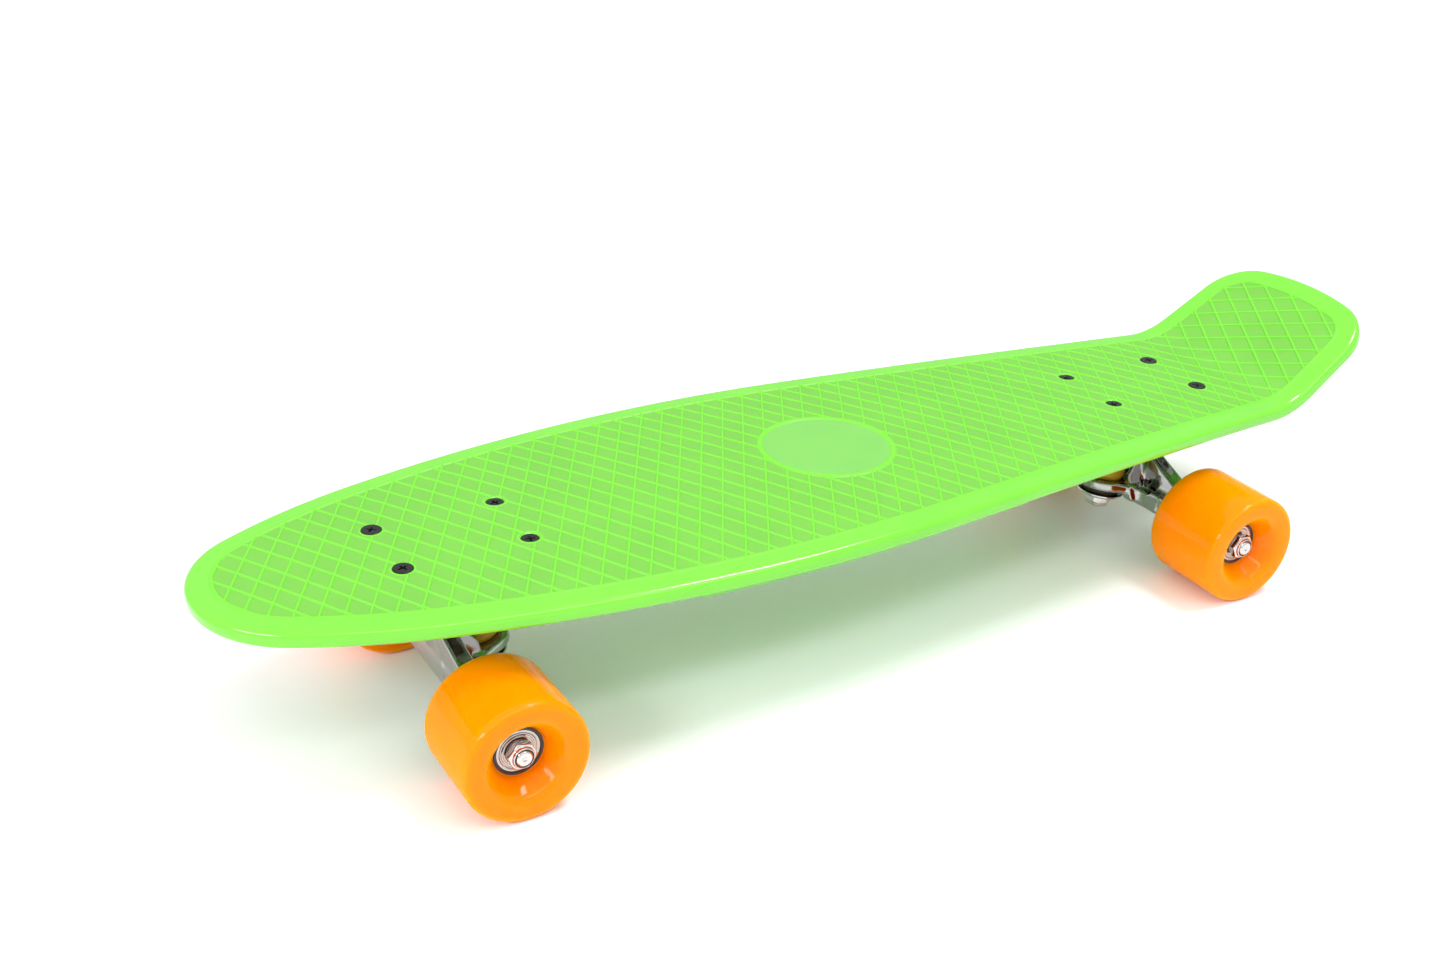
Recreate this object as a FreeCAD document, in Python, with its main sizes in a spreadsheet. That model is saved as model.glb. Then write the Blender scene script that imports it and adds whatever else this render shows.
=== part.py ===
"""A plastic cruiser skateboard: kicktail deck, two turning trucks and four wheels on ball bearings.

Frame: millimetres, +X towards the nose, +Y towards the left side, +Z up, floor at z = 0,
origin on the floor under the middle of the board's box.
Truck parts are drawn once in truck axes: origin midway between the four deck bolts, on the face
that bolts to the deck, +X towards the near end of the board. Turned parts are drawn about +Z.
"""

import FreeCAD
import Part
import Sketcher

import math
import os
import re

from FreeCAD import Placement, Rotation, Vector

X_AXIS = Vector(1, 0, 0)
Y_AXIS = Vector(0, 1, 0)
Z_AXIS = Vector(0, 0, 1)
ORIGIN = Vector(0, 0, 0)

# Driving dimensions: millimetres and degrees.
DRIVING = {
    # Deck outline: tangent arcs from the nose tip to the middle of the tail's end.
    "nose_reach": 337.0,  # nose tip to the middle between the trucks
    "nose_radius": 54.0,
    "nose_turn": 62.4,
    "flank_radius": 302.0,
    "flank_turn": 14.1,
    "side_radius": 759.0,
    "side_turn": 19.9,
    "waist_radius": 3379.0,
    "waist_turn": 2.2,
    "corner_radius": 31.4,
    "corner_turn": 74.9,
    "end_radius": 176.0,  # its turn closes the outline on the middle line
    # Deck surface.
    "camber_rise": 2.2,
    "camber_reach": 212.3,
    "crown_radius": 1667.0,
    "kick_start": 265.9,
    "kick_bend_radius": 45.0,
    "kick_angle": 31.8,
    # Deck moulding.
    "skin_thickness": 4.6,
    "rim_depth": 8.4,
    "rim_wall": 4.2,
    "rib_width": 2.6,
    "rib_spacing": 44.0,
    "long_rib_spacing": 28.0,
    "rail_depth": 12.8,
    "rail_width": 3.4,
    "rail_inset": 6.0,
    "rail_front": 125.0,
    "rail_back": 75.0,
    "pad_depth": 12.0,
    "pad_length": 86.0,
    "pad_width": 60.0,
    "patch_radius": 33.8,
    "patch_sink": 0.6,
    # Deck bolts.
    "bolt_spacing_long": 63.5,
    "bolt_spacing_wide": 41.3,
    "bolt_radius": 2.4,
    "bolt_hole_radius": 2.6,
    "bolt_head_radius": 5.0,
    "bolt_head_depth": 2.7,
    "bolt_length": 25.0,
    "deck_nut_flats": 9.5,
    "deck_nut_height": 5.2,
    "nut_seat_radius": 5.94,
    # Trucks.
    "truck_spacing": 424.6,
    "axle_offset": 7.4,
    "axle_drop": 52.4,
    "ring_offset": 11.8,
    "ring_drop": 48.6,
    "kingpin_lean": 8.0,
    "pivot_offset": 27.0,
    "pivot_drop": 14.0,
    "plate_length": 80.0,
    "plate_width": 56.0,
    "plate_thickness": 5.0,
    "plate_corner": 7.0,
    "boss_seat_radius": 13.5,
    "boss_root_radius": 15.5,
    "pivot_boss_radius": 11.5,
    "pivot_ball_radius": 5.5,
    "pivot_cup_radius": 8.0,
    "pivot_clearance": 0.06,
    "ring_radius": 16.0,
    "ring_thickness": 6.0,
    "ring_bore": 7.6,
    "flange_root": 22.0,
    "flange_neck": 15.5,  # half width where the flange leaves the ring
    "beam_inboard": 8.7,
    "beam_outboard": 6.3,
    "beam_rise": 6.0,
    "beam_reach": 58.0,
    "web_base": 11.0,
    "web_top": 6.0,
    "web_foot_length": 124.0,
    "web_top_length": 20.0,
    "web_top_offset": 11.0,
    "web_top_drop": 25.0,
    "pocket_offset": 24.0,
    "pocket_drop": 44.0,
    "pocket_size": 12.0,
    "pocket_depth": 5.0,
    "neck_radius": 5.2,
    "neck_length": 14.0,
    "column_radius": 7.0,
    "column_foot_offset": 12.0,
    "column_foot_drop": 36.0,
    "stack_relief": 1.8,
    "hanger_half_width": 67.2,
    "beam_end_radius": 9.0,
    "upper_bushing_height": 14.5,
    "lower_bushing_height": 4.4,
    "bushing_radius": 12.0,
    "lower_bushing_radius": 11.5,
    "washer_thickness": 1.5,
    "upper_washer_radius": 12.8,
    "lower_washer_radius": 14.0,
    "washer_rim": 1.0,
    "washer_wall": 1.2,
    "bushing_chamfer": 1.0,
    "kingpin_radius": 4.75,
    "kingpin_head_radius": 8.0,
    "kingpin_head_height": 6.0,
    "kingpin_head_sink": 2.0,  # under the mounting face
    "kingpin_tip": 1.0,  # past the nut
    "kingpin_nut_flats": 14.3,
    "kingpin_nut_height": 7.0,
    # Axles and wheels, measured along the axle from the board's middle plane.
    "axle_radius": 4.0,
    "axle_half_length": 99.6,
    "speed_washer_thickness": 1.0,
    "speed_washer_radius": 5.5,
    "axle_nut_flats": 12.7,
    "axle_nut_height": 4.2,
    "axle_nut_collar": 1.6,
    "axle_nut_collar_radius": 5.4,
    "wheel_radius": 31.2,
    "wheel_inner_face": 54.8,
    "wheel_outer_face": 104.3,
    "wheel_corner": 4.5,
    "recess_mouth_radius": 20.0,
    "recess_blend": 8.0,
    "core_radius": 12.3,
    "core_shoulder_radius": 9.7,
    "core_lip": 0.4,
    # 608 ball bearing.
    "bearing_radius": 11.0,
    "bearing_width": 7.0,
    "bearing_gap": 10.0,
    "ball_pitch_radius": 7.5,
    "ball_radius": 1.98,
    "groove_radius": 2.04,
    "inner_race_radius": 6.1,
    "outer_race_bore": 9.2,
    "race_chamfer": 0.35,
    "shield_thickness": 0.35,
    "shield_depth": 0.2,
    "shield_gap": 0.25,
    "cage_inner_radius": 6.8,
    "cage_outer_radius": 8.3,
    "cage_low": 1.2,
    "cage_high": 2.6,
    "cage_clearance": 0.05,
    "spacer_radius": 5.9,
}
BALLS_IN_BEARING = 7
LONG_RIBS_EACH_SIDE = 2
CROSS_RIBS_EACH_SIDE = 8
BEYOND = 12.0  # how far cutting and trimming shapes run past what they trim

SUB_PARTS = []

doc = FreeCAD.newDocument("Skateboard")


def make_sheet():
    """The spreadsheet that holds every driving dimension under its own name."""
    cells = doc.addObject("Spreadsheet::Sheet", "Dimensions")
    for row, (alias, value) in enumerate(DRIVING.items(), start=1):
        cells.set("A%d" % row, alias)
        cells.set("B%d" % row, str(value))
        cells.setAlias("B%d" % row, alias)
    doc.recompute()
    return cells


sheet = make_sheet()


# Formulas and placements


def in_sheet(formula):
    """The formula with each driving name written as a cell of the sheet."""
    def cell(match):
        word = match.group(0)
        return "Dimensions." + word if word in DRIVING else word

    return re.sub(r"[a-z][a-z_]*", cell, str(formula))


def size(formula):
    """The number that a formula over the driving names gives."""
    return float(sheet.evalExpression(in_sheet(formula)))


def bind(item, sizes):
    """Binds an object's sizes to formulas over the driving names."""
    for name, formula in sizes.items():
        item.setExpression(name, in_sheet(formula))
    return item


def moved(x=0.0, y=0.0, z=0.0):
    """A placement that only moves."""
    return Placement(Vector(x, y, z), Rotation())


def aimed(position, direction):
    """A placement that takes the origin to a point and +Z to a direction."""
    return Placement(position, Rotation(Z_AXIS, direction))


# Document objects


def keep(item, label):
    """Marks an object as a sub-part. Its label names its file."""
    item.Label = label
    SUB_PARTS.append(item)
    return item


def primitive(kind, name, place, **sizes):
    item = bind(doc.addObject("Part::" + kind, name), sizes)
    item.Placement = place
    return item


def cylinder(name, place, radius, low, high):
    """A round bar about the placement's +Z, from height low to height high."""
    height = "%s - ( %s )" % (high, low)
    return primitive("Cylinder", name, place.multiply(moved(z=size(low))), Radius=radius, Height=height)


def cone(name, place, low_radius, high_radius, low, high):
    """A frustum about the placement's +Z, from height low to height high."""
    height = "%s - ( %s )" % (high, low)
    foot = place.multiply(moved(z=size(low)))
    return primitive("Cone", name, foot, Radius1=low_radius, Radius2=high_radius, Height=height)


def block(name, place, length, width, low, high):
    """A box centred on the placement's Z axis, from height low to height high."""
    corner = place.multiply(moved(-size(length) / 2, -size(width) / 2, size(low)))
    height = "%s - ( %s )" % (high, low)
    return primitive("Box", name, corner, Length=length, Width=width, Height=height)


def ball(name, place, radius):
    return primitive("Sphere", name, place, Radius=radius)


def hex_bar(name, place, flats, low, high):
    """A hexagonal bar, measured across its flats."""
    height = "%s - ( %s )" % (high, low)
    foot = place.multiply(moved(z=size(low)))
    bar = primitive("Prism", name, foot, Circumradius="%s / sqrt( 3 )" % flats, Height=height)
    bar.Polygon = 6
    return bar


def cut(name, base, tools):
    """The base with one tool or a list of tools cut away."""
    item = doc.addObject("Part::Cut", name)
    item.Base = base
    item.Tool = fuse(name + "_tools", tools) if isinstance(tools, list) else tools
    return item


def common(name, base, tool):
    item = doc.addObject("Part::Common", name)
    item.Base = base
    item.Tool = tool
    return item


def fuse(name, pieces):
    item = doc.addObject("Part::MultiFuse", name)
    item.Shapes = pieces
    item.Refine = False
    return item


def group(name, pieces):
    """Separate solids kept together, such as a set of identical fasteners."""
    item = doc.addObject("Part::Compound", name)
    item.Links = pieces
    return item


def feature(name, shape, place):
    """An object with a shape made by Part's own functions."""
    item = doc.addObject("Part::Feature", name)
    item.Shape = shape
    item.Placement = place
    return item


def profile_sketch(body, plane_role, corners):
    """A closed sketch of straight lines on one of the body's planes, through (x, y) formulas."""
    sketch = body.newObject("Sketcher::SketchObject", body.Name + "_profile")
    plane = next(f for f in body.Origin.OriginFeatures if f.Role == plane_role)
    sketch.AttachmentSupport = [(plane, "")]
    sketch.MapMode = "FlatFace"
    spots = [Vector(size(x), size(y), 0) for x, y in corners]
    count = len(spots)
    for i in range(count):
        sketch.addGeometry(Part.LineSegment(spots[i], spots[(i + 1) % count]))
    for i in range(count):
        sketch.addConstraint(Sketcher.Constraint("Coincident", i, 2, (i + 1) % count, 1))
    for i, corner in enumerate(corners):
        for kind, formula in zip(("DistanceX", "DistanceY"), corner):
            number = sketch.addConstraint(Sketcher.Constraint(kind, -1, 1, i, 1, size(formula)))
            sketch.setExpression("Constraints[%d]" % number, in_sheet(formula))
    return sketch


def turned(name, place, profile):
    """A body turned about its own +Z. The profile lists its corners as (radius, height) formulas."""
    body = doc.addObject("PartDesign::Body", name)
    sketch = profile_sketch(body, "XZ_Plane", profile)
    turn = body.newObject("PartDesign::Revolution", name + "_turn")
    turn.Profile = sketch
    turn.ReferenceAxis = (sketch, ["V_Axis"])
    turn.Angle = 360
    body.Placement = place
    return body


def plate_from(name, place, corners, low, high):
    """A flat plate through (x, y) corner formulas, between two heights."""
    body = doc.addObject("PartDesign::Body", name)
    sketch = profile_sketch(body, "XY_Plane", corners)
    sketch.AttachmentOffset = moved(z=size(low))
    pad = body.newObject("PartDesign::Pad", name + "_pad")
    pad.Profile = sketch
    bind(pad, {"Length": "%s - ( %s )" % (high, low)})
    body.Placement = place
    return body


def rounded(body, circles, radius):
    """Rounds a turned body's edges that stand at the given (radius, height) formulas."""
    doc.recompute()
    turn = body.Tip
    wanted = [(size(r), size(z)) for r, z in circles]
    names = []
    for number, edge in enumerate(turn.Shape.Edges, start=1):
        if isinstance(edge.Curve, Part.Circle):
            here = (edge.Curve.Radius, edge.Curve.Center.z)
            if any(math.dist(here, spot) < 0.01 for spot in wanted):
                names.append("Edge%d" % number)
    blend = body.newObject("PartDesign::Fillet", "%s_round_%d" % (body.Name, len(body.Group)))
    blend.Base = (turn, names)
    bind(blend, {"Radius": radius})
    body.Tip = blend
    return body


# Deck shape. The deck's own axes stand midway between the trucks, level with the bolt heads.


def turned_vector(degrees):
    return Vector(math.cos(math.radians(degrees)), math.sin(math.radians(degrees)), 0)


def arc_between(centre, radius, start, end):
    """An arc in the XY plane from one angle to another, in degrees."""
    spots = [centre + turned_vector(angle) * radius for angle in (start, (start + end) / 2, end)]
    return Part.Arc(*spots).toShape(), spots[2]


def half_outline():
    """The left half of the deck's outline laid flat, as tangent edges from the nose to the tail.

    The straight taper is as long as it takes for the end arc to meet the middle line squarely.
    """
    edges = []
    spot = Vector(size("nose_reach"), 0, 0)
    heading = 90.0

    def add_arc(name, hollow=False):
        nonlocal spot, heading
        side = -1 if hollow else 1
        radius = size(name + "_radius")
        turn = size(name + "_turn")
        centre = spot + turned_vector(heading + 90 * side) * radius
        start = heading - 90 * side
        edge, spot = arc_between(centre, radius, start, start + turn * side)
        edges.append(edge)
        heading += turn * side

    for name in ("nose", "flank", "side"):
        add_arc(name)
    taper_heading = heading
    end_turn = 270.0 - (heading - size("waist_turn") + size("corner_turn"))
    taper_slot = len(edges)
    add_arc("waist", hollow=True)
    add_arc("corner")
    surplus = spot.y - size("end_radius") * math.sin(math.radians(end_turn))
    slide = turned_vector(taper_heading) * (surplus / -math.sin(math.radians(taper_heading)))
    for edge in edges[taper_slot:]:
        edge.translate(slide)
    taper_start = edges[taper_slot - 1].lastVertex().Point
    edges.insert(taper_slot, Part.LineSegment(taper_start, taper_start + slide).toShape())
    spot = spot + slide
    end_centre = Vector(spot.x, 0, 0) + Vector(size("end_radius") * math.cos(math.radians(end_turn)), 0, 0)
    end_arc, spot = arc_between(end_centre, size("end_radius"), 180 - end_turn, 180)
    edges.append(end_arc)
    return edges, -spot.x


def outline_face(inset=0.0):
    """The whole outline laid flat, or the same shape drawn in by an inset."""
    edges, _ = half_outline()
    mirrored = [edge.mirror(ORIGIN, Y_AXIS) for edge in edges]
    wire = Part.Wire(Part.__sortEdges__(edges + mirrored))
    if inset:
        wire = wire.makeOffset2D(-inset)
    return Part.Face(wire)


def camber_radius():
    return size("camber_reach ^ 2 / ( 2 * camber_rise )")


def camber_place(s):
    """The placement on the cambered top at distance s from the middle, with +Z straight out of it."""
    tilt = math.degrees(math.asin(s / camber_radius()))
    drop = camber_radius() * (1 - math.cos(math.radians(tilt)))
    return Placement(Vector(s, 0, size("camber_rise") - drop), Rotation(Y_AXIS, tilt))


def bend_place(turn):
    """The placement on the bend that lifts the kicktail, after turning by some degrees."""
    start = camber_place(-size("kick_start"))
    hinge = start.multVec(Vector(0, 0, size("kick_bend_radius")))
    return Placement(hinge, Rotation(Y_AXIS, turn)).multiply(
        Placement(start.Base - hinge, start.Rotation)
    )


def bend_turn():
    """How far the bend turns, from the camber's own slope to the kick angle."""
    return size("kick_angle") + math.degrees(math.asin(size("kick_start") / camber_radius()))


def tail_place():
    """The placement on the top at the middle of the tail's end."""
    _, tail_reach = half_outline()
    bend_length = math.radians(bend_turn()) * size("kick_bend_radius")
    straight = tail_reach - size("kick_start") - bend_length
    return bend_place(bend_turn()).multiply(moved(-straight))


# The deck and what bolts to it


def deck_place():
    """Where the deck's own axes stand, with the board's box centred on the origin."""
    tail_end = tail_place().multVec(Vector(0, 0, -size("rim_depth"))).x
    height = size("wheel_radius + axle_drop + pad_depth")
    return moved(-(size("nose_reach") + tail_end) / 2, 0, height)


def deck_spine():
    """The line that the deck's top follows: camber, bend and straight kicktail."""
    nose_end = size("nose_reach") + BEYOND
    bend_start = -size("kick_start")
    camber = [camber_place(s).Base for s in (nose_end, (nose_end + bend_start) / 2, bend_start)]
    bend = [bend_place(bend_turn() * share).Base for share in (0, 0.5, 1)]
    kick_end = tail_place().multVec(Vector(-BEYOND, 0, 0))
    edges = [
        Part.Arc(*camber).toShape(),
        Part.Arc(*bend).toShape(),
        Part.LineSegment(bend[2], kick_end).toShape(),
    ]
    return feature("deck_spine", Part.Wire(edges), Placement())


def deck_layer(name, spine, top, bottom):
    """A crowned layer that follows the deck, between two depths under its top."""
    side = size("wheel_outer_face")
    crown = size("crown_radius")
    sag = crown - math.sqrt(crown**2 - side**2)

    def across(depth):
        return [Vector(0, y, -depth - drop) for y, drop in ((-side, sag), (0, 0), (side, sag))]

    upper = across(size(top))
    lower = across(size(bottom))
    edges = [
        Part.Arc(*upper).toShape(),
        Part.LineSegment(upper[2], lower[2]).toShape(),
        Part.Arc(*reversed(lower)).toShape(),
        Part.LineSegment(lower[0], upper[0]).toShape(),
    ]
    section = feature(name + "_section", Part.Wire(edges), camber_place(size("nose_reach") + BEYOND))
    layer = doc.addObject("Part::Sweep", name)
    layer.Sections = [section]
    layer.Spine = (spine, ["Edge1", "Edge2", "Edge3"])
    layer.Solid = True
    layer.Frenet = False
    return layer


def outline_prism(name, inset):
    """The outline, drawn in by an inset, as a thick prism square to the flat and to the kicktail."""
    reach = size("nose_reach")
    flat = outline_face(inset)
    flat.translate(Z_AXIS * -reach / 2)
    bend_length = math.radians(bend_turn()) * size("kick_bend_radius")
    on_kick = bend_place(bend_turn()).multiply(moved(size("kick_start") + bend_length))
    kick = flat.copy()
    kick.Placement = on_kick.multiply(kick.Placement)
    split = bend_place(bend_turn() / 2)
    front = Part.makeBox(3 * reach, 2 * reach, 2 * reach, Vector(0, -reach, -reach))
    back = Part.makeBox(reach, 2 * reach, 2 * reach, Vector(-reach, -reach, -reach))
    front.Placement = split
    back.Placement = split
    front_part = flat.extrude(Z_AXIS * reach).common(front)
    kick_part = kick.extrude(on_kick.Rotation.multVec(Z_AXIS) * reach).common(back)
    return feature(name, front_part.fuse(kick_part), Placement())


def both_ends():
    """Each end's name, its side of the middle and the way its truck faces."""
    return (("nose", 1), ("tail", -1))


def bolt_spots():
    """The eight deck bolts' places in the deck's axes."""
    long = size("bolt_spacing_long") / 2
    wide = size("bolt_spacing_wide") / 2
    return [
        moved(side * size("truck_spacing") / 2 + dx, dy)
        for _, side in both_ends()
        for dx in (-long, long)
        for dy in (-wide, wide)
    ]


def bolt_top(spot):
    """How far a bolt head lies under the deck's zero level, because the top is crowned."""
    crown = size("crown_radius")
    return crown - math.sqrt(crown**2 - spot.Base.y**2)


def deck_ribs():
    """The stiffening ribs under the skin, as walls that fill the hollow's depth."""
    length = 2 * (size("nose_reach") + BEYOND)
    height = length / 4
    walls = []
    for number in range(-LONG_RIBS_EACH_SIDE, LONG_RIBS_EACH_SIDE + 1):
        place = moved(0, number * size("long_rib_spacing"))
        walls.append(block("long_rib_%d" % len(walls), place, length, "rib_width", -height, height))
    for number in range(-CROSS_RIBS_EACH_SIDE, CROSS_RIBS_EACH_SIDE):
        place = moved(number * size("rib_spacing"))
        walls.append(block("cross_rib_%d" % len(walls), place, "rib_width", length, -height, height))
    return fuse("deck_ribs", walls)


def side_rails(spine):
    """The deeper walls just inside the rim along the middle of the board."""
    ring = cut(
        "rail_ring",
        outline_prism("rail_outside", size("rail_inset")),
        outline_prism("rail_inside", size("rail_inset + rail_width")),
    )
    depth = common("rail_walls", ring, deck_layer("rail_layer", spine, "skin_thickness / 2", "rail_depth"))
    middle = moved((size("rail_front") - size("rail_back")) / 2)
    length = "rail_front + rail_back"
    span = block("rail_span", middle, length, "2 * nose_reach", "-nose_reach", "nose_reach")
    return common("side_rails", depth, span)


def truck_pads():
    """The flat-bottomed blocks that the trucks bolt to."""
    return [
        block(
            end + "_pad", moved(side * size("truck_spacing") / 2),
            "pad_length", "pad_width", "-pad_depth", "-skin_thickness / 2",
        )
        for end, side in both_ends()
    ]


def deck():
    spine = deck_spine()
    layer = deck_layer("slab_layer", spine, "0", "rim_depth")
    slab = common("deck_slab", layer, outline_prism("slab_outline", 0))
    hollow = common(
        "deck_hollow",
        deck_layer("hollow_layer", spine, "skin_thickness", "rim_depth + %s" % BEYOND),
        outline_prism("hollow_outline", size("rim_wall")),
    )
    shell = cut("deck_shell", slab, cut("deck_cells", hollow, deck_ribs()))
    solid = fuse("deck_solid", [shell, side_rails(spine)] + truck_pads())
    holes = [cylinder("patch", Placement(), "patch_radius", "camber_rise - patch_sink", BEYOND)]
    for number, spot in enumerate(bolt_spots()):
        sunk = spot.multiply(moved(z=-bolt_top(spot)))
        name = "bolt_hole_%d" % number
        holes.append(cylinder(name, sunk, "bolt_hole_radius", "-2 * pad_depth", "bolt_head_depth"))
        holes.append(cone(name + "_sink", sunk, "bolt_radius", "bolt_head_radius", "-bolt_head_depth", "0"))
        holes.append(cylinder(name + "_mouth", sunk, "bolt_head_radius", "0", "bolt_head_depth"))
    board = cut("deck", solid, holes)
    board.Placement = deck_place()
    keep(board, "deck")


def deck_fasteners():
    bolts = []
    nuts = []
    nut_top = size("-pad_depth - plate_thickness")
    for number, spot in enumerate(bolt_spots()):
        place = deck_place().multiply(spot).multiply(moved(z=-bolt_top(spot)))
        name = "deck_bolt_%d" % number
        solid = turned(name, place, [
            ("0", "-bolt_length"),
            ("bolt_radius", "-bolt_length"),
            ("bolt_radius", "-bolt_head_depth"),
            ("bolt_head_radius", "0"),
            ("0", "0"),
        ])
        slots = [
            block("%s_slot_%d" % (name, turn), place.multiply(Placement(ORIGIN, Rotation(Z_AXIS, turn))),
                  "1.1 * bolt_head_radius", "bolt_radius / 2", "-bolt_head_depth / 2", "1")
            for turn in (45, 135)
        ]
        bolts.append(cut(name + "_cross", solid, slots))
        name = "deck_nut_%d" % number
        flat = deck_place().multiply(spot).multiply(moved(z=nut_top))
        solid = hex_bar(name, flat, "deck_nut_flats", "-deck_nut_height", "0")
        bore = cylinder(name + "_bore", flat, "bolt_radius", "-2 * deck_nut_height", "1")
        nuts.append(cut(name + "_body", solid, bore))
    keep(group("deck_bolts", bolts), "deck_bolts")
    keep(group("deck_bolt_nuts", nuts), "deck_bolt_nuts")


# One truck, in truck axes


def truck_place(side):
    """Where a truck's axes stand on the board, for the nose side 1 or the tail side -1."""
    mount = deck_place().multiply(moved(side * size("truck_spacing") / 2, 0, -size("pad_depth")))
    return mount.multiply(Placement(ORIGIN, Rotation(Z_AXIS, 0 if side > 0 else 180)))


def kingpin_place():
    """The middle of the hanger's ring, with +Z up the kingpin towards the deck."""
    middle = Vector(-size("ring_offset"), 0, -size("ring_drop"))
    return Placement(middle, Rotation(Y_AXIS, size("kingpin_lean")))


def pivot_place():
    """The middle of the pivot ball, with +Z along the steering axis away from the ring."""
    pivot = Vector(size("pivot_offset"), 0, -size("pivot_drop"))
    return aimed(pivot, pivot - kingpin_place().Base)


def axle_place():
    """The middle of the axle, with +Z along it to the truck's left."""
    return Placement(Vector(size("axle_offset"), 0, -size("axle_drop")), Rotation(X_AXIS, -90))


# Heights along the kingpin from the middle of the ring
SEAT = "ring_thickness / 2 + upper_bushing_height + washer_thickness"
PIN_HEAD = "ring_drop - kingpin_head_sink"
LOWER_WASHER = "-ring_thickness / 2 - lower_bushing_height"
KINGPIN_NUT = LOWER_WASHER + " - washer_thickness"


def baseplate(end, truck):
    pin = truck.multiply(kingpin_place())
    pivot = truck.multiply(pivot_place())
    name = end + "_baseplate"
    blank = block(name + "_blank", truck, "plate_length", "plate_width", "-plate_thickness", "0")
    plate = doc.addObject("Part::Fillet", name + "_plate")
    plate.Base = blank
    plate.Edges = [(edge, size("plate_corner"), size("plate_corner")) for edge in (1, 3, 5, 7)]
    above = "ring_drop + %s" % BEYOND
    boss = cone(name + "_boss", pin, "boss_seat_radius", "boss_root_radius", SEAT, above)
    cup_boss = cylinder(name + "_cup_boss", pivot, "pivot_boss_radius", "-pivot_ball_radius",
                        "2 * pivot_cup_radius")
    rib = block(name + "_rib", truck.multiply(moved(size("pivot_offset") / 2)),
                "pivot_offset", "pivot_cup_radius", "-2 * plate_thickness", "0")
    below = block(name + "_below", truck, "plate_length", "plate_width", "-ring_drop", "0")
    solid = common(name + "_solid", fuse(name + "_cast", [plate, boss, cup_boss, rib]), below)
    tools = [
        cylinder(name + "_pin_bore", pin, "kingpin_radius", "0", above),
        cylinder(name + "_head_bore", pin, "kingpin_head_radius", PIN_HEAD + " - kingpin_head_height", above),
        cylinder(name + "_cup_bore", pivot, "pivot_cup_radius", "-2 * pivot_ball_radius",
                 "pivot_cup_radius"),
    ]
    long = size("bolt_spacing_long") / 2
    wide = size("bolt_spacing_wide") / 2
    for number, (dx, dy) in enumerate(((1, 1), (1, -1), (-1, 1), (-1, -1))):
        spot = truck.multiply(moved(dx * long, dy * wide))
        hole = "%s_hole_%d" % (name, number)
        tools.append(cylinder(hole, spot, "bolt_hole_radius", "-2 * plate_thickness", "1"))
        tools.append(cylinder(hole + "_seat", spot, "nut_seat_radius", "-plate_thickness - %s" % (2 * BEYOND),
                              "-plate_thickness"))
    keep(cut(name, solid, tools), name)


def pivot_cup(end, truck):
    pivot = truck.multiply(pivot_place())
    name = end + "_pivot_cup"
    liner = cylinder(name + "_liner", pivot, "pivot_cup_radius", "-pivot_ball_radius", "pivot_cup_radius")
    socket = "pivot_ball_radius + pivot_clearance"
    tools = [
        ball(name + "_socket", pivot, socket),
        cylinder(name + "_mouth", pivot, socket, "-2 * pivot_ball_radius", "0"),
    ]
    keep(cut(name, liner, tools), name)


def kingpin_stack(end, truck):
    """The kingpin with its nut, cup washers and two bushings, from the baseplate down."""
    pin = truck.multiply(kingpin_place())
    keep(turned(end + "_kingpin", pin, [
        ("0", KINGPIN_NUT + " - kingpin_nut_height - kingpin_tip"),
        ("kingpin_radius", KINGPIN_NUT + " - kingpin_nut_height - kingpin_tip"),
        ("kingpin_radius", PIN_HEAD + " - kingpin_head_height"),
        ("kingpin_head_radius", PIN_HEAD + " - kingpin_head_height"),
        ("kingpin_head_radius", PIN_HEAD),
        ("0", PIN_HEAD),
    ]), end + "_kingpin")
    keep(turned(end + "_upper_washer", pin, [
        ("kingpin_radius", SEAT + " - washer_thickness"),
        ("bushing_radius", SEAT + " - washer_thickness"),
        ("bushing_radius", SEAT + " - washer_thickness - washer_rim"),
        ("upper_washer_radius", SEAT + " - washer_thickness - washer_rim"),
        ("upper_washer_radius", SEAT),
        ("kingpin_radius", SEAT),
    ]), end + "_upper_washer")
    keep(turned(end + "_upper_bushing", pin, [
        ("kingpin_radius", "ring_thickness / 2"),
        ("bushing_radius - bushing_chamfer", "ring_thickness / 2"),
        ("bushing_radius", "ring_thickness / 2 + 2 * bushing_chamfer"),
        ("bushing_radius", SEAT + " - washer_thickness"),
        ("kingpin_radius", SEAT + " - washer_thickness"),
    ]), end + "_upper_bushing")
    keep(turned(end + "_lower_bushing", pin, [
        ("kingpin_radius", LOWER_WASHER),
        ("lower_bushing_radius - bushing_chamfer", LOWER_WASHER),
        ("lower_bushing_radius", "-ring_thickness / 2"),
        ("kingpin_radius", "-ring_thickness / 2"),
    ]), end + "_lower_bushing")
    keep(turned(end + "_lower_washer", pin, [
        ("kingpin_radius", KINGPIN_NUT),
        ("lower_washer_radius - washer_rim", KINGPIN_NUT),
        ("lower_washer_radius", LOWER_WASHER),
        ("lower_washer_radius", LOWER_WASHER + " + washer_rim"),
        ("lower_washer_radius - washer_wall", LOWER_WASHER + " + washer_rim"),
        ("lower_bushing_radius", LOWER_WASHER),
        ("kingpin_radius", LOWER_WASHER),
    ]), end + "_lower_washer")
    name = end + "_kingpin_nut"
    nut_end = KINGPIN_NUT + " - kingpin_nut_height"
    solid = hex_bar(name + "_hex", pin, "kingpin_nut_flats", nut_end, KINGPIN_NUT)
    bore = cylinder(name + "_bore", pin, "kingpin_radius", "-ring_drop", "0")
    keep(cut(name, solid, bore), name)


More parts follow.
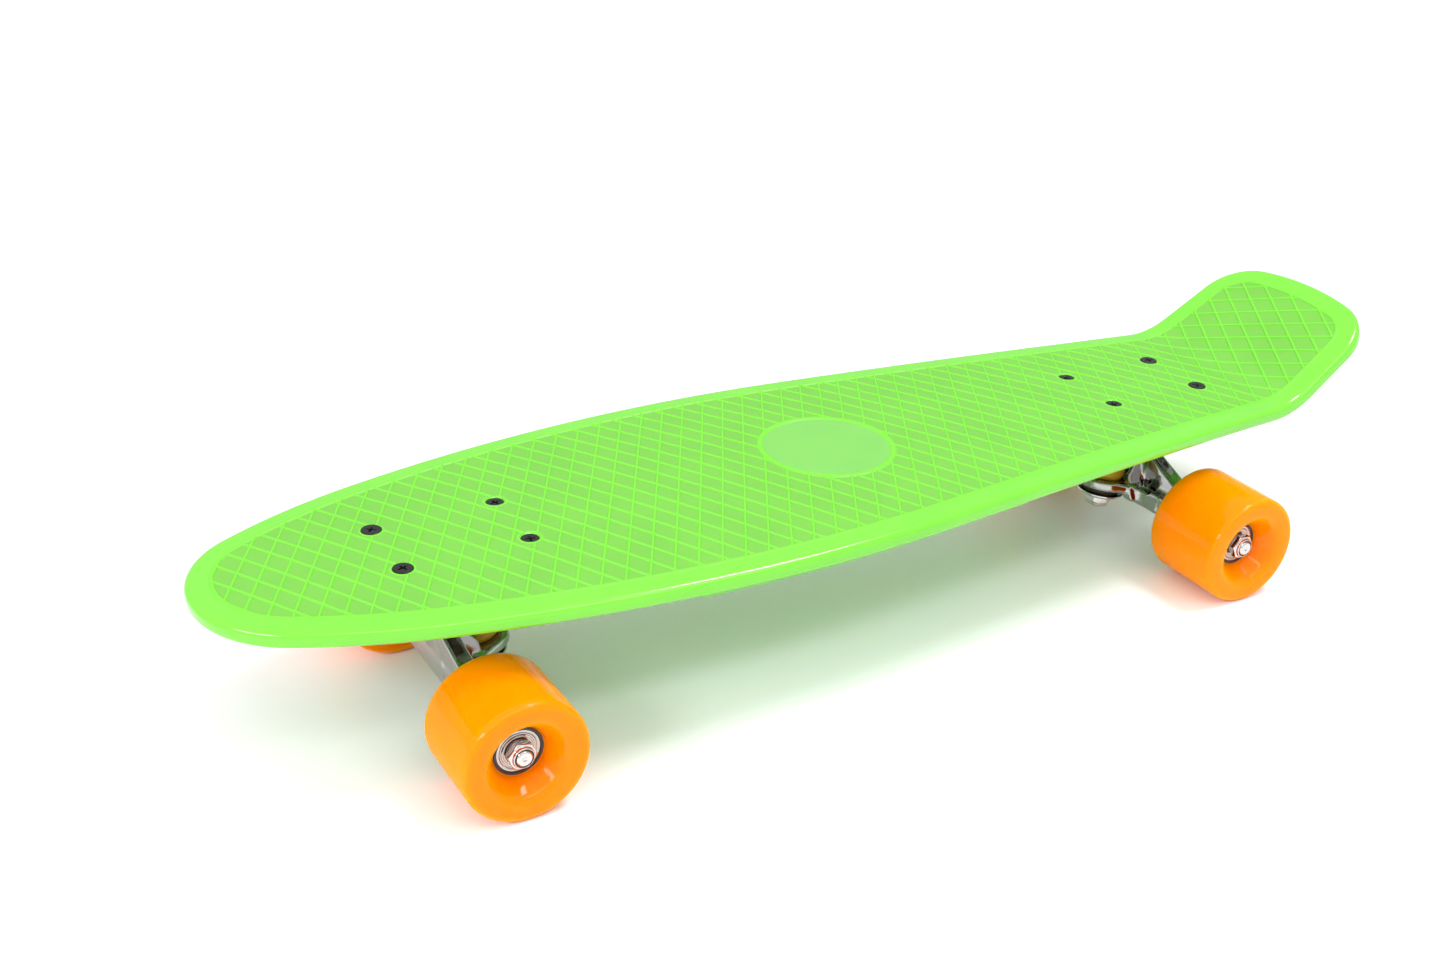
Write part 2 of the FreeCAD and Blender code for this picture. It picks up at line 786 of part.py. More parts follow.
def hanger(end, truck):
    """The casting that carries the axle: ring, flange, beam, web and pivot arm."""
    pin = truck.multiply(kingpin_place())
    pivot = truck.multiply(pivot_place())
    axle = truck.multiply(axle_place())
    name = end + "_hanger"
    beam_middle = moved(size("axle_offset + ( beam_outboard - beam_inboard ) / 2"), 0, -size("axle_drop"))
    pieces = [
        cylinder(name + "_ring", pin, "ring_radius", "-ring_thickness / 2", "ring_thickness / 2"),
        block(name + "_beam", truck.multiply(beam_middle), "beam_inboard + beam_outboard",
              "2 * beam_reach", "-beam_rise", "beam_rise"),
        ball(name + "_ball", pivot, "pivot_ball_radius"),
        cylinder(name + "_neck", pivot, "neck_radius", "-neck_length", "0"),
        ball(name + "_knuckle", pivot.multiply(moved(z=-size("neck_length"))), "column_radius"),
        hanger_web(name, truck),
    ]
    root = "ring_offset + axle_offset"
    left = [("0", "flange_neck"), (root + " - beam_inboard", "flange_root"), (root, "flange_root")]
    right = [(x, "-" + y) for x, y in reversed(left)]
    pieces.append(plate_from(name + "_flange", pin, left + right,
                             "-ring_thickness / 2", "ring_thickness / 2"))
    for side, turn in (("left", 0), ("right", 180)):
        outward = axle.multiply(Placement(ORIGIN, Rotation(X_AXIS, turn)))
        pieces.append(cylinder("%s_%s_end" % (name, side), outward, "beam_end_radius",
                               "beam_reach - 1", "hanger_half_width"))
    foot = Vector(size("column_foot_offset"), 0, -size("column_foot_drop"))
    knuckle = pivot_place().multVec(Vector(0, 0, -size("neck_length")))
    column = truck.multiply(aimed(foot, knuckle - foot))
    pieces.append(cylinder(name + "_column", column, "column_radius", "0", (knuckle - foot).Length))
    tools = [
        cylinder(name + "_ring_bore", pin, "ring_bore", "-ring_thickness", "ring_thickness"),
        cylinder(name + "_washer_relief", pin, "lower_washer_radius + stack_relief",
                 "-ring_thickness / 2 - %s" % (2 * BEYOND), "-ring_thickness / 2"),
        cylinder(name + "_bushing_relief", pin, "bushing_radius + stack_relief",
                 "ring_thickness / 2", "2 * ring_thickness"),
        cylinder(name + "_axle_bore", axle, "axle_radius", "-axle_half_length", "axle_half_length"),
    ]
    for side, hand in (("left", 1), ("right", -1)):
        middle = moved(size("axle_offset - web_base / 2"), hand * size("pocket_offset"), -size("pocket_drop"))
        tools.append(block("%s_%s_pocket" % (name, side), truck.multiply(middle), "2 * pocket_depth",
                           "pocket_size", "-pocket_size / 2", "pocket_size / 2"))
    keep(cut(name, fuse(name + "_cast", pieces), tools), name)


def hanger_web(name, truck):
    """The tapering wall between the beam and the pivot arm, with its foot along the axle."""
    wall = doc.addObject("Part::Wedge", name + "_web")
    half = "web_base / 2"
    bind(wall, {
        "Xmin": "axle_offset - %s" % half,
        "Xmax": "axle_offset + %s" % half,
        "Zmin": "-web_foot_length / 2",
        "Zmax": "web_foot_length / 2",
        "Ymin": "-axle_drop + beam_rise / 2",
        "Ymax": "-web_top_drop",
        "X2min": "web_top_offset - web_top / 2",
        "X2max": "web_top_offset + web_top / 2",
        "Z2min": "-web_top_length / 2",
        "Z2max": "web_top_length / 2",
    })
    wall.Placement = truck.multiply(Placement(ORIGIN, Rotation(X_AXIS, 90)))
    return wall


def ring_on(name, place, outer, inner, low, high):
    """A plain ring about the placement's +Z."""
    solid = cylinder(name + "_disc", place, outer, low, high)
    bore = cylinder(name + "_bore", place, inner, "%s - 1" % low, "%s + 1" % high)
    return cut(name, solid, bore)


# Places along the axle from the board's middle plane
BEARING_IN = "hanger_half_width + speed_washer_thickness"
BEARING_OUT = BEARING_IN + " + 2 * bearing_width + bearing_gap"
AXLE_NUT = BEARING_OUT + " + speed_washer_thickness"


def axle_sides(truck):
    """The two placements on the truck's axle whose +Z points out to the left or right wheel."""
    axle = truck.multiply(axle_place())
    flipped = axle.multiply(Placement(ORIGIN, Rotation(X_AXIS, 180)))
    return (("left", axle), ("right", flipped))


def bearing_spots(side_place):
    """The middles of the inner and outer bearings on one side of an axle."""
    half = size("bearing_width") / 2
    return [
        side_place.multiply(moved(z=size(BEARING_IN) + half)),
        side_place.multiply(moved(z=size(BEARING_OUT) - half)),
    ]


def groove(name, place):
    """The ball track, as a ring to cut from a race."""
    return primitive("Torus", name, place, Radius1="ball_pitch_radius", Radius2="groove_radius")


def inner_race(name, place):
    edge = "bearing_width / 2"
    solid = turned(name + "_turned", place, [
        ("axle_radius", "-%s + race_chamfer" % edge),
        ("axle_radius + race_chamfer", "-%s" % edge),
        ("inner_race_radius", "-%s" % edge),
        ("inner_race_radius", edge),
        ("axle_radius + race_chamfer", edge),
        ("axle_radius", "%s - race_chamfer" % edge),
    ])
    return cut(name, solid, groove(name + "_track", place))


def outer_race(name, place):
    edge = "bearing_width / 2"
    solid = turned(name + "_turned", place, [
        ("outer_race_bore", "-%s" % edge),
        ("bearing_radius - race_chamfer", "-%s" % edge),
        ("bearing_radius", "-%s + race_chamfer" % edge),
        ("bearing_radius", "%s - race_chamfer" % edge),
        ("bearing_radius - race_chamfer", edge),
        ("outer_race_bore", edge),
    ])
    return cut(name, solid, groove(name + "_track", place))


def shields(name, place):
    """The two dust shields of one bearing, held in its outer race."""
    high = "bearing_width / 2 - shield_depth"
    low = high + " - shield_thickness"
    bore = "inner_race_radius + shield_gap"
    upper = ring_on(name + "_upper", place, "outer_race_bore", bore, low, high)
    lower = ring_on(name + "_lower", place, "outer_race_bore", bore, "- ( %s )" % high, "- ( %s )" % low)
    return [upper, lower]


def ball_places(place):
    """Where the balls of one bearing stand round its pitch circle."""
    return [
        place.multiply(Placement(ORIGIN, Rotation(Z_AXIS, 360.0 * number / BALLS_IN_BEARING))).multiply(
            moved(size("ball_pitch_radius"))
        )
        for number in range(BALLS_IN_BEARING)
    ]


def cage(name, place):
    """A crown cage: a thin ring on one side of the balls with a finger between each two."""
    crown = ring_on(name + "_crown", place, "cage_outer_radius", "cage_inner_radius",
                    "-cage_low", "cage_high")
    pockets = [
        ball("%s_pocket_%d" % (name, number), spot, "ball_radius + cage_clearance")
        for number, spot in enumerate(ball_places(place))
    ]
    return cut(name, crown, pockets)


def axle_set(end, truck):
    """The axle and everything that stays still on it."""
    keep(cylinder(end + "_axle", truck.multiply(axle_place()), "axle_radius",
                  "-axle_half_length", "axle_half_length"), end + "_axle")
    nuts = []
    washers = []
    spacers = []
    races = []
    for side, place in axle_sides(truck):
        name = "%s_%s_" % (end, side)
        top = AXLE_NUT + " + axle_nut_height"
        solid = hex_bar(name + "nut_hex", place, "axle_nut_flats", AXLE_NUT, top)
        collar_top = top + " + axle_nut_collar"
        collar = cylinder(name + "nut_collar", place, "axle_nut_collar_radius", top, collar_top)
        bore = cylinder(name + "nut_bore", place, "axle_radius", BEARING_IN, "axle_half_length + 1")
        nuts.append(cut(name + "nut", fuse(name + "nut_solid", [solid, collar]), bore))
        washer = "speed_washer_radius"
        for label, low, high in (("inner", "hanger_half_width", BEARING_IN), ("outer", BEARING_OUT, AXLE_NUT)):
            washers.append(ring_on(name + label + "_washer", place, washer, "axle_radius", low, high))
        spacers.append(ring_on(name + "spacer", place, "spacer_radius", "axle_radius",
                               BEARING_IN + " + bearing_width", BEARING_OUT + " - bearing_width"))
        races += [inner_race("%srace_%d" % (name, n), spot) for n, spot in enumerate(bearing_spots(place))]
    keep(group(end + "_axle_nuts", nuts), end + "_axle_nuts")
    keep(group(end + "_speed_washers", washers), end + "_speed_washers")
    keep(group(end + "_bearing_spacers", spacers), end + "_bearing_spacers")
    keep(group(end + "_inner_races", races), end + "_inner_races")


def wheel(name, place):
    """One wheel: poured tyre on a hub core, with two ball bearings pressed into the core."""
    mouth = "recess_mouth_radius"
    tyre = turned(name + "_tyre", place, [
        ("core_radius", BEARING_IN),
        (mouth, "wheel_inner_face"),
        ("wheel_radius", "wheel_inner_face"),
        ("wheel_radius", "wheel_outer_face"),
        (mouth, "wheel_outer_face"),
        ("core_radius", BEARING_OUT),
    ])
    faces = ("wheel_inner_face", "wheel_outer_face")
    rounded(tyre, [("wheel_radius", face) for face in faces], "wheel_corner")
    rounded(tyre, [(mouth, face) for face in faces], "recess_blend")
    keep(tyre, name + "_tyre")
    inner_seat = BEARING_IN + " + bearing_width"
    outer_seat = BEARING_OUT + " - bearing_width"
    keep(turned(name + "_core", place, [
        ("bearing_radius", BEARING_IN),
        ("bearing_radius", inner_seat),
        ("core_shoulder_radius", inner_seat),
        ("core_shoulder_radius", outer_seat),
        ("bearing_radius", outer_seat),
        ("bearing_radius", BEARING_OUT + " + core_lip"),
        ("core_radius", BEARING_OUT + " + core_lip"),
        ("core_radius", BEARING_IN),
    ]), name + "_core")
    races = []
    covers = []
    balls = []
    cages = []
    for number, spot in enumerate(bearing_spots(place)):
        label = "%s_%d_" % (name, number)
        races.append(outer_race(label + "race", spot))
        covers += shields(label + "shield", spot)
        for ball_number, where in enumerate(ball_places(spot)):
            balls.append(ball("%sball_%d" % (label, ball_number), where, "ball_radius"))
        cages.append(cage(label + "cage", spot))
    keep(group(name + "_outer_races", races), name + "_outer_races")
    keep(group(name + "_bearing_shields", covers), name + "_bearing_shields")
    keep(group(name + "_bearing_balls", balls), name + "_bearing_balls")
    keep(group(name + "_bearing_cages", cages), name + "_bearing_cages")


def build():
    deck()
    deck_fasteners()
    for end, side in both_ends():
        truck = truck_place(side)
        baseplate(end, truck)
        pivot_cup(end, truck)
        kingpin_stack(end, truck)
        hanger(end, truck)
        axle_set(end, truck)
        for hand, place in axle_sides(truck):
            board_hand = hand if side > 0 else {"left": "right", "right": "left"}[hand]
            wheel("%s_%s" % (end, board_hand), place)
    doc.recompute()


def write_steps():
    """Checks every object and writes each sub-part to its own file."""
    failed = [item.Name for item in doc.Objects if {"Invalid", "Error"} & set(item.State)]
    if failed:
        raise RuntimeError("these objects failed: " + ", ".join(failed))
    os.makedirs("parts", exist_ok=True)
    for item in SUB_PARTS:
        shape = item.Shape
        if shape.isNull() or not shape.isValid() or not shape.Solids:
            raise RuntimeError(item.Label + " has no valid solid")
        shape.exportStep("parts/%s.step" % item.Label)
        print("%-28s %2d solids %10.1f mm3" % (item.Label, len(shape.Solids), shape.Volume))


build()
write_steps()
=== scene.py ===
"""Looks for a plastic cruiser skateboard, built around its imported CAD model.

Shapes are worked out in millimetres and written in metres. Deck positions are given flat, as
(s, y): s runs along the board from the middle between the trucks towards the nose, y to its left.
Truck shapes are drawn once in truck axes, with +X away from the board's middle.
"""

import math

import bpy
import numpy as np
from mathutils import Euler, Matrix, Vector, geometry


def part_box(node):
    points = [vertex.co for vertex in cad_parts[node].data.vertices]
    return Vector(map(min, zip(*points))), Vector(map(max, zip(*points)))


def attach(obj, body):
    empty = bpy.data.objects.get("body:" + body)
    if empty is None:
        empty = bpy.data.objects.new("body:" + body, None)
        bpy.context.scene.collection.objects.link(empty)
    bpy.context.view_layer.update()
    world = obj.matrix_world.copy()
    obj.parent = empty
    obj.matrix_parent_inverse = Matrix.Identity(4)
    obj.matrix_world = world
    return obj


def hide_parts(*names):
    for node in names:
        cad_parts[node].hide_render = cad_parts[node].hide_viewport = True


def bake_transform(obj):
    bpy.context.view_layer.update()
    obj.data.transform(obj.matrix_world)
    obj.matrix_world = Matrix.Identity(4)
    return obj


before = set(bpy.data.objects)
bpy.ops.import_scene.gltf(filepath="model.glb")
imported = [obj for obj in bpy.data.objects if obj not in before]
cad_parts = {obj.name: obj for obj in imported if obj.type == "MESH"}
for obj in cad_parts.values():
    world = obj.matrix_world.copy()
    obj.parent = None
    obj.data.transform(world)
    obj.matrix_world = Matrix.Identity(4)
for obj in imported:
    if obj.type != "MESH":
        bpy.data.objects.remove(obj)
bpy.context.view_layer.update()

MM = 0.001
WELD_GRAIN = 1e-5  # millimetres
SETTLE_STEPS = 4  # how often a field shape's points are pulled onto its surface
ENDS = {"nose": 1, "tail": -1}
HANDS = {"left": 1, "right": -1}


# Meshes


def plain_object(name, points, faces, materials, sharp=40, face_material=None):
    """A smooth-shaded object from points in millimetres."""
    mesh = bpy.data.meshes.new(name)
    mesh.from_pydata((np.asarray(points, float) * MM).tolist(), [], [list(face) for face in faces])
    mesh.validate()
    for finish in materials:
        mesh.materials.append(finish)
    if face_material is not None:
        mesh.polygons.foreach_set("material_index", np.asarray(face_material, "i"))
    mesh.shade_smooth()
    mesh.set_sharp_from_angle(angle=math.radians(sharp))
    mesh.update()
    item = bpy.data.objects.new(name, mesh)
    bpy.context.scene.collection.objects.link(item)
    return item


def mesh_object(name, points, faces, materials, body, slot, replaced=(), sharp=40, face_material=None):
    """The same, riding on a CAD body in place of some of its nodes."""
    item = plain_object(name, points, faces, materials, sharp, face_material)
    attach(item, body)
    if replaced:
        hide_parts(*replaced)
    return item


def joined(shapes):
    """Several (points, faces) shapes as one."""
    points, faces, start = [], [], 0
    for shape_points, shape_faces in shapes:
        points.append(np.asarray(shape_points, float))
        faces += [[index + start for index in face] for face in shape_faces]
        start += len(shape_points)
    return np.concatenate(points), faces


def placed(shape, matrix):
    """A shape moved by a 4 x 4 matrix. A mirroring matrix also turns the faces round."""
    points, faces = shape
    turn = np.array(matrix)
    moved = np.asarray(points, float) @ turn[:3, :3].T + turn[:3, 3]
    if np.linalg.det(turn[:3, :3]) < 0:
        faces = [list(face)[::-1] for face in faces]
    return moved, faces


def shift(x=0.0, y=0.0, z=0.0):
    return Matrix.Translation((x, y, z))


def spin(degrees, axis):
    return Matrix.Rotation(math.radians(degrees), 4, axis)


def rounded(corners, segments=5):
    """A profile from (r, z) corners. A third number in a corner rounds it to that radius."""
    spots = [np.array(corner[:2], float) for corner in corners]
    profile = []
    for number, corner in enumerate(corners):
        here = spots[number]
        radius = corner[2] if len(corner) > 2 else 0
        if not radius:
            profile.append(here)
            continue
        back = spots[number - 1] - here
        ahead = spots[(number + 1) % len(spots)] - here
        back_length, ahead_length = np.linalg.norm(back), np.linalg.norm(ahead)
        back, ahead = back / back_length, ahead / ahead_length
        half = math.acos(np.clip(back @ ahead, -1, 1)) / 2
        reach = min(radius / math.tan(half), 0.48 * back_length, 0.48 * ahead_length)
        start, end = here + back * reach, here + ahead * reach
        for share in np.linspace(0, 1, segments + 1):
            # A quadratic curve through the corner is close to the arc at these sizes
            profile.append((1 - share) ** 2 * start + 2 * share * (1 - share) * here + share**2 * end)
    return profile


def turned(corners, segments=96, curve=5):
    """A closed (r, z) profile turned about Z. Its corners run anticlockwise, r to the right."""
    profile = rounded(corners, curve)
    count = len(profile)
    angles = np.linspace(0, 2 * math.pi, segments, endpoint=False)
    points = [
        (r * math.cos(angle), r * math.sin(angle), z)
        for angle in angles
        for r, z in profile
    ]
    faces = []
    for column in range(segments):
        after = (column + 1) % segments
        for row in range(count):
            up = (row + 1) % count
            faces.append([column * count + row, after * count + row, after * count + up, column * count + up])
    return weld(points, faces)


def weld(points, faces):
    """Merges points that coincide, such as those of a profile that touches its axis."""
    points = np.asarray(points, float)
    rounded_off = np.round(points / WELD_GRAIN)
    _, first, index = np.unique(rounded_off, axis=0, return_index=True, return_inverse=True)
    index = index.reshape(-1)
    kept = []
    for face in faces:
        ring = [int(index[corner]) for corner in face]
        ring = [corner for number, corner in enumerate(ring) if corner != ring[number - 1]]
        if len(set(ring)) > 2 and len(set(ring)) == len(ring):
            kept.append(ring)
    return points[first], kept


# Blended shapes: a field is a function of points that is below zero inside the shape.


def soft_min(a, b, blend):
    """The union of two fields with a fillet between them."""
    overlap = np.maximum(blend - np.abs(a - b), 0) / blend
    return np.minimum(a, b) - overlap**2 * blend / 4


def soft_max(a, b, blend):
    """The common part of two fields with a rounded edge between them."""
    return -soft_min(-a, -b, blend)


def from_axis(points):
    """Distance from the Z axis."""
    return np.linalg.norm(points[:, :2], axis=1)


def limits(points, axis, low, high):
    """A slab between two values of one coordinate."""
    return np.maximum(points[:, axis] - high, low - points[:, axis])


def ball_field(points, centre, radius):
    return np.linalg.norm(points - centre, axis=1) - radius


def rod_field(points, start, end, start_radius, end_radius=None):
    """A round-ended rod, tapering if it has two radii."""
    start, end = np.array(start, float), np.array(end, float)
    along = end - start
    share = np.clip((points - start) @ along / (along @ along), 0, 1)
    radius = start_radius if end_radius is None else start_radius + (end_radius - start_radius) * share
    return np.linalg.norm(points - start - share[:, None] * along, axis=1) - radius


def disc_field(points, radius, low, high, edge):
    """A disc about Z with a rounded edge."""
    side = from_axis(points) - (radius - edge)
    face = np.abs(points[:, 2] - (low + high) / 2) - ((high - low) / 2 - edge)
    outside = np.linalg.norm(np.maximum(np.stack([side, face], 1), 0), axis=1)
    return outside + np.minimum(np.maximum(side, face), 0) - edge


def block_field(points, low, high, edge):
    """A box with rounded edges."""
    low, high = np.array(low, float), np.array(high, float)
    away = np.abs(points - (low + high) / 2) - ((high - low) / 2 - edge)
    outside = np.linalg.norm(np.maximum(away, 0), axis=1)
    return outside + np.minimum(away.max(axis=1), 0) - edge


def hexagon_field(points, flats):
    """An endless hexagonal bar about Z."""
    turns = [math.radians(angle) for angle in (0, 60, 120)]
    sides = [np.abs(points[:, 0] * math.cos(a) + points[:, 1] * math.sin(a)) for a in turns]
    return np.max(sides, axis=0) - flats / 2


def into(points, matrix):
    """Points seen from a placement's own axes."""
    back = np.array(matrix.inverted())
    return points @ back[:3, :3].T + back[:3, 3]


def unpinched(value, nudge):
    """Samples filled in wherever two solid corners of the grid would meet only across a diagonal."""
    value = value.copy()
    pinched = True
    while pinched:
        pinched = False
        for pair in ((0, 1), (0, 2), (1, 2)):
            sheet = np.moveaxis(value, pair, (0, 1))
            corners = (sheet[:-1, :-1], sheet[1:, :-1], sheet[:-1, 1:], sheet[1:, 1:])
            solid = [corner < 0 for corner in corners]
            crossed = (solid[0] == solid[3]) & (solid[1] == solid[2]) & (solid[0] != solid[1])
            for corner in corners:
                corner[crossed & (corner >= 0)] = -nudge
            pinched = pinched or bool(crossed.any())
    return value


def field_shape(field, low, high, step):
    """A closed surface where the field is zero: surface nets, then each point pulled onto the field."""
    axes = [np.arange(a - step, b + 2 * step, step) for a, b in zip(low, high)]
    sizes = [len(axis) for axis in axes]
    grid = np.stack(np.meshgrid(*axes, indexing="ij"), -1).reshape(-1, 3)
    value = unpinched(field(grid).reshape(sizes), step / 50)
    inside = value < 0

    def corner(array, offset):
        return array[tuple(slice(o, n - 1 + o) for o, n in zip(offset, sizes))]

    offsets = [(i, j, k) for i in (0, 1) for j in (0, 1) for k in (0, 1)]
    filled = sum(corner(inside, offset).astype(int) for offset in offsets)
    mixed = (filled > 0) & (filled < 8)
    number = np.full(mixed.shape, -1)
    number[mixed] = np.arange(mixed.sum())
    total = np.zeros(mixed.shape + (3,))
    crossings = np.zeros(mixed.shape)
    for start in offsets:
        for axis in range(3):
            if start[axis]:
                continue
            end = tuple(o + (n == axis) for n, o in enumerate(start))
            a, b = corner(value, start), corner(value, end)
            crossed = (a < 0) != (b < 0)
            share = np.where(crossed, a / np.where(crossed, a - b, 1), 0)
            spot = np.array(start, float) + np.zeros(mixed.shape + (3,))
            spot[..., axis] += share
            total += np.where(crossed[..., None], spot, 0)
            crossings += crossed
    cell = np.argwhere(mixed)
    points = cell + total[mixed] / crossings[mixed][:, None]
    points = np.array([axis[0] for axis in axes]) + points * step
    faces = []
    for axis in range(3):
        second, third = (axis + 1) % 3, (axis + 2) % 3
        low_slice, high_slice = [slice(1, -1)] * 3, [slice(1, -1)] * 3
        low_slice[axis], high_slice[axis] = slice(0, -1), slice(1, None)
        before, after = inside[tuple(low_slice)], inside[tuple(high_slice)]
        for leaving in (True, False):
            spots = np.argwhere((before != after) & (before == leaving))
            spots[:, second] += 1
            spots[:, third] += 1
            ring = []
            for across, up in ((-1, -1), (0, -1), (0, 0), (-1, 0)):
                spot = spots.copy()
                spot[:, second] += across
                spot[:, third] += up
                ring.append(number[tuple(spot.T)])
            ring = np.stack(ring if leaving else ring[::-1], 1)
            faces += ring.tolist()
    for _ in range(SETTLE_STEPS):
        slope = gradient(field, points, step / 20)
        steepness = np.maximum((slope**2).sum(1), 0.2)
        pull = field(points)[:, None] * slope / steepness[:, None]
        points = points - np.clip(pull, -step / 2, step / 2)
    return points, faces


def gradient(field, points, reach):
    """A field's slope along each axis."""
    slopes = []
    for axis in range(3):
        offset = np.zeros(3)
        offset[axis] = reach
        slopes.append((field(points + offset) - field(points - offset)) / (2 * reach))
    return np.stack(slopes, 1)


# Materials


def material(name, color, roughness, **sockets):
    """A material whose constant values sit on the shader's own sockets."""
    item = bpy.data.materials.new(name)
    item.use_nodes = True
    shader = item.node_tree.nodes["Principled BSDF"]
    shader.inputs["Base Color"].default_value = (*color, 1)
    shader.inputs["Roughness"].default_value = roughness
    for socket, value in sockets.items():
        shader.inputs[socket.replace("_", " ")].default_value = value
    return item


def node(item, kind, **settings):
    """A new node. Settings name its sockets, with _ for a space, or else its properties."""
    made = item.node_tree.nodes.new(kind)
    for name, value in settings.items():
        socket = name.replace("_", " ")
        if socket in made.inputs:
            made.inputs[socket].default_value = value
        else:
            setattr(made, name, value)
    return made


def wire(item, source, target):
    item.node_tree.links.new(source, target)


def noise(item, scale, detail=3.0, stretch=(1, 1, 1)):
    """Noise of so many bumps to the metre, in the piece's own coordinates."""
    mapping = node(item, "ShaderNodeMapping", Scale=stretch)
    wire(item, node(item, "ShaderNodeTexCoord").outputs["Object"], mapping.inputs["Vector"])
    made = node(item, "ShaderNodeTexNoise", Scale=scale, Detail=detail)
    wire(item, mapping.outputs["Vector"], made.inputs["Vector"])
    return made.outputs["Fac"]


def ramp(item, source, low, high, span=(0.0, 1.0)):
    """A factor turned into a range of numbers or colours."""
    if isinstance(low, (int, float)):
        made = node(item, "ShaderNodeMapRange", From_Min=span[0], From_Max=span[1], To_Min=low, To_Max=high)
        wire(item, source, made.inputs["Value"])
        return made.outputs["Result"]
    made = node(item, "ShaderNodeValToRGB")
    for stop, color, at in zip(made.color_ramp.elements, (low, high), span):
        stop.color, stop.position = (*color, 1), at
    wire(item, source, made.inputs["Fac"])
    return made.outputs["Color"]


def shader_input(item, name):
    return item.node_tree.nodes["Principled BSDF"].inputs[name]


def add_bump(item, height, distance):
    bump = node(item, "ShaderNodeBump", Distance=distance, Strength=1.0)
    wire(item, height, bump.inputs["Height"])
    wire(item, bump.outputs["Normal"], shader_input(item, "Normal"))


def vary(item, rough_low, rough_high, dark, light, scale, bump_scale, bump_depth):
    """The small unevenness of a real surface, in its gloss, colour and flatness."""
    gloss = ramp(item, noise(item, scale), rough_low, rough_high, (0.3, 0.7))
    wire(item, gloss, shader_input(item, "Roughness"))
    tint = ramp(item, noise(item, scale / 2), dark, light, (0.35, 0.65))
    wire(item, tint, shader_input(item, "Base Color"))
    add_bump(item, noise(item, bump_scale, 4.0), bump_depth)
    return item


def deck_plastic(name, color, rough_low, rough_high, grain, grain_depth, **sockets):
    """Moulded deck plastic. Light enters it a little way."""
    item = material(name, color, rough_low, Subsurface_Weight=0.1, Subsurface_Radius=(0.2, 1.0, 0.1),
                    Subsurface_Scale=0.003, Specular_IOR_Level=0.4, **sockets)
    return vary(item, rough_low, rough_high, [c * 0.95 for c in color], color, 60, grain, grain_depth)


def urethane():
    """Cast wheel urethane: light enters it and warms with depth."""
    item = material("wheel_urethane", WHEEL_ORANGE, 0.2, Subsurface_Weight=0.85, Subsurface_Scale=0.016,
                    Subsurface_Radius=(1.0, 0.65, 0.0), Specular_IOR_Level=0.0,
                    Coat_Weight=0.3, Coat_Roughness=0.04)
    return vary(item, 0.16, 0.24, [c * 0.97 for c in WHEEL_ORANGE], WHEEL_ORANGE, 90, 1500, 0.00004)


def polished_metal(name, color, low, high, stretch=(1, 1, 1)):
    """Bright metal with faint polishing marks."""
    item = material(name, color, low, Metallic=1.0)
    gloss = ramp(item, noise(item, 120, 4.0, stretch), low, high, (0.35, 0.7))
    wire(item, gloss, shader_input(item, "Roughness"))
    tint = ramp(item, noise(item, 40), [c * 0.93 for c in color], color, (0.3, 0.6))
    wire(item, tint, shader_input(item, "Base Color"))
    add_bump(item, noise(item, 260, 4.0, stretch), 0.00006)
    return item


def dull(name, color, roughness, **sockets):
    """Rubber, oxide or plain plastic."""
    item = material(name, color, roughness, **sockets)
    brighter = [min(1, c * 1.25 + 0.004) for c in color]
    return vary(item, roughness - 0.06, min(1, roughness + 0.08), color, brighter, 140, 900, 0.00005)


DECK_GREEN = (0.155, 0.58, 0.03)
# The cells' green is the deck green painted darker: painted shade in the lattice's cells, so that the ribs
# read as lit. Cells and ribs are one plastic.
CELL_SHADE_GREEN = (0.145, 0.44, 0.045)
PATCH_GREEN = (0.165, 0.49, 0.08)
WHEEL_ORANGE = (1.0, 0.225, 0.0)

SHADED_SATIN = deck_plastic("deck_satin_painted_shade", CELL_SHADE_GREEN, 0.38, 0.5, 2600, 0.00006)
RIDGE = deck_plastic("deck_ridges", DECK_GREEN, 0.4, 0.5, 900, 0.00002)
PATCH = deck_plastic("deck_patch", PATCH_GREEN, 0.3, 0.42, 1400, 0.00003)
GLOSS = deck_plastic("deck_gloss", DECK_GREEN, 0.14, 0.22, 220, 0.0001, Coat_Weight=0.3, Coat_Roughness=0.06)
URETHANE = urethane()
CAST = polished_metal("truck_cast", (0.4, 0.4, 0.39), 0.07, 0.15)
ZINC = polished_metal("zinc_plate", (0.46, 0.46, 0.465), 0.16, 0.28)
CHROME = polished_metal("bright_plate", (0.6, 0.595, 0.58), 0.05, 0.12)
RACE_STEEL = polished_metal("ground_steel", (0.44, 0.43, 0.42), 0.12, 0.24, stretch=(1, 20, 1))
SHIELD = polished_metal("pressed_steel", (0.46, 0.43, 0.39), 0.08, 0.16)
OXIDE = dull("black_oxide", (0.006, 0.006, 0.007), 0.36, Specular_IOR_Level=0.3)
AMBER = dull("amber_urethane", (0.42, 0.25, 0.01), 0.35, Subsurface_Weight=0.3, Subsurface_Scale=0.004)
DARK_RUBBER = dull("dark_urethane", (0.03, 0.022, 0.015), 0.45)
BLACK_PLASTIC = dull("black_plastic", (0.014, 0.014, 0.015), 0.38)
NYLON = dull("natural_nylon", (0.78, 0.74, 0.62), 0.4)

NODE_MATERIALS = {
    "deck": GLOSS, "deck_bolts": OXIDE, "deck_bolt_nuts": ZINC, "baseplate": CAST, "pivot_cup": BLACK_PLASTIC,
    "kingpin": ZINC, "kingpin_nut": ZINC, "upper_washer": ZINC, "lower_washer": ZINC, "upper_bushing": AMBER,
    "lower_bushing": DARK_RUBBER, "hanger": CAST, "axle": ZINC, "axle_nuts": CHROME, "speed_washers": ZINC,
    "bearing_spacers": ZINC, "inner_races": RACE_STEEL, "tyre": URETHANE, "core": BLACK_PLASTIC,
    "outer_races": RACE_STEEL, "bearing_shields": SHIELD, "bearing_balls": RACE_STEEL, "bearing_cages": NYLON,
}


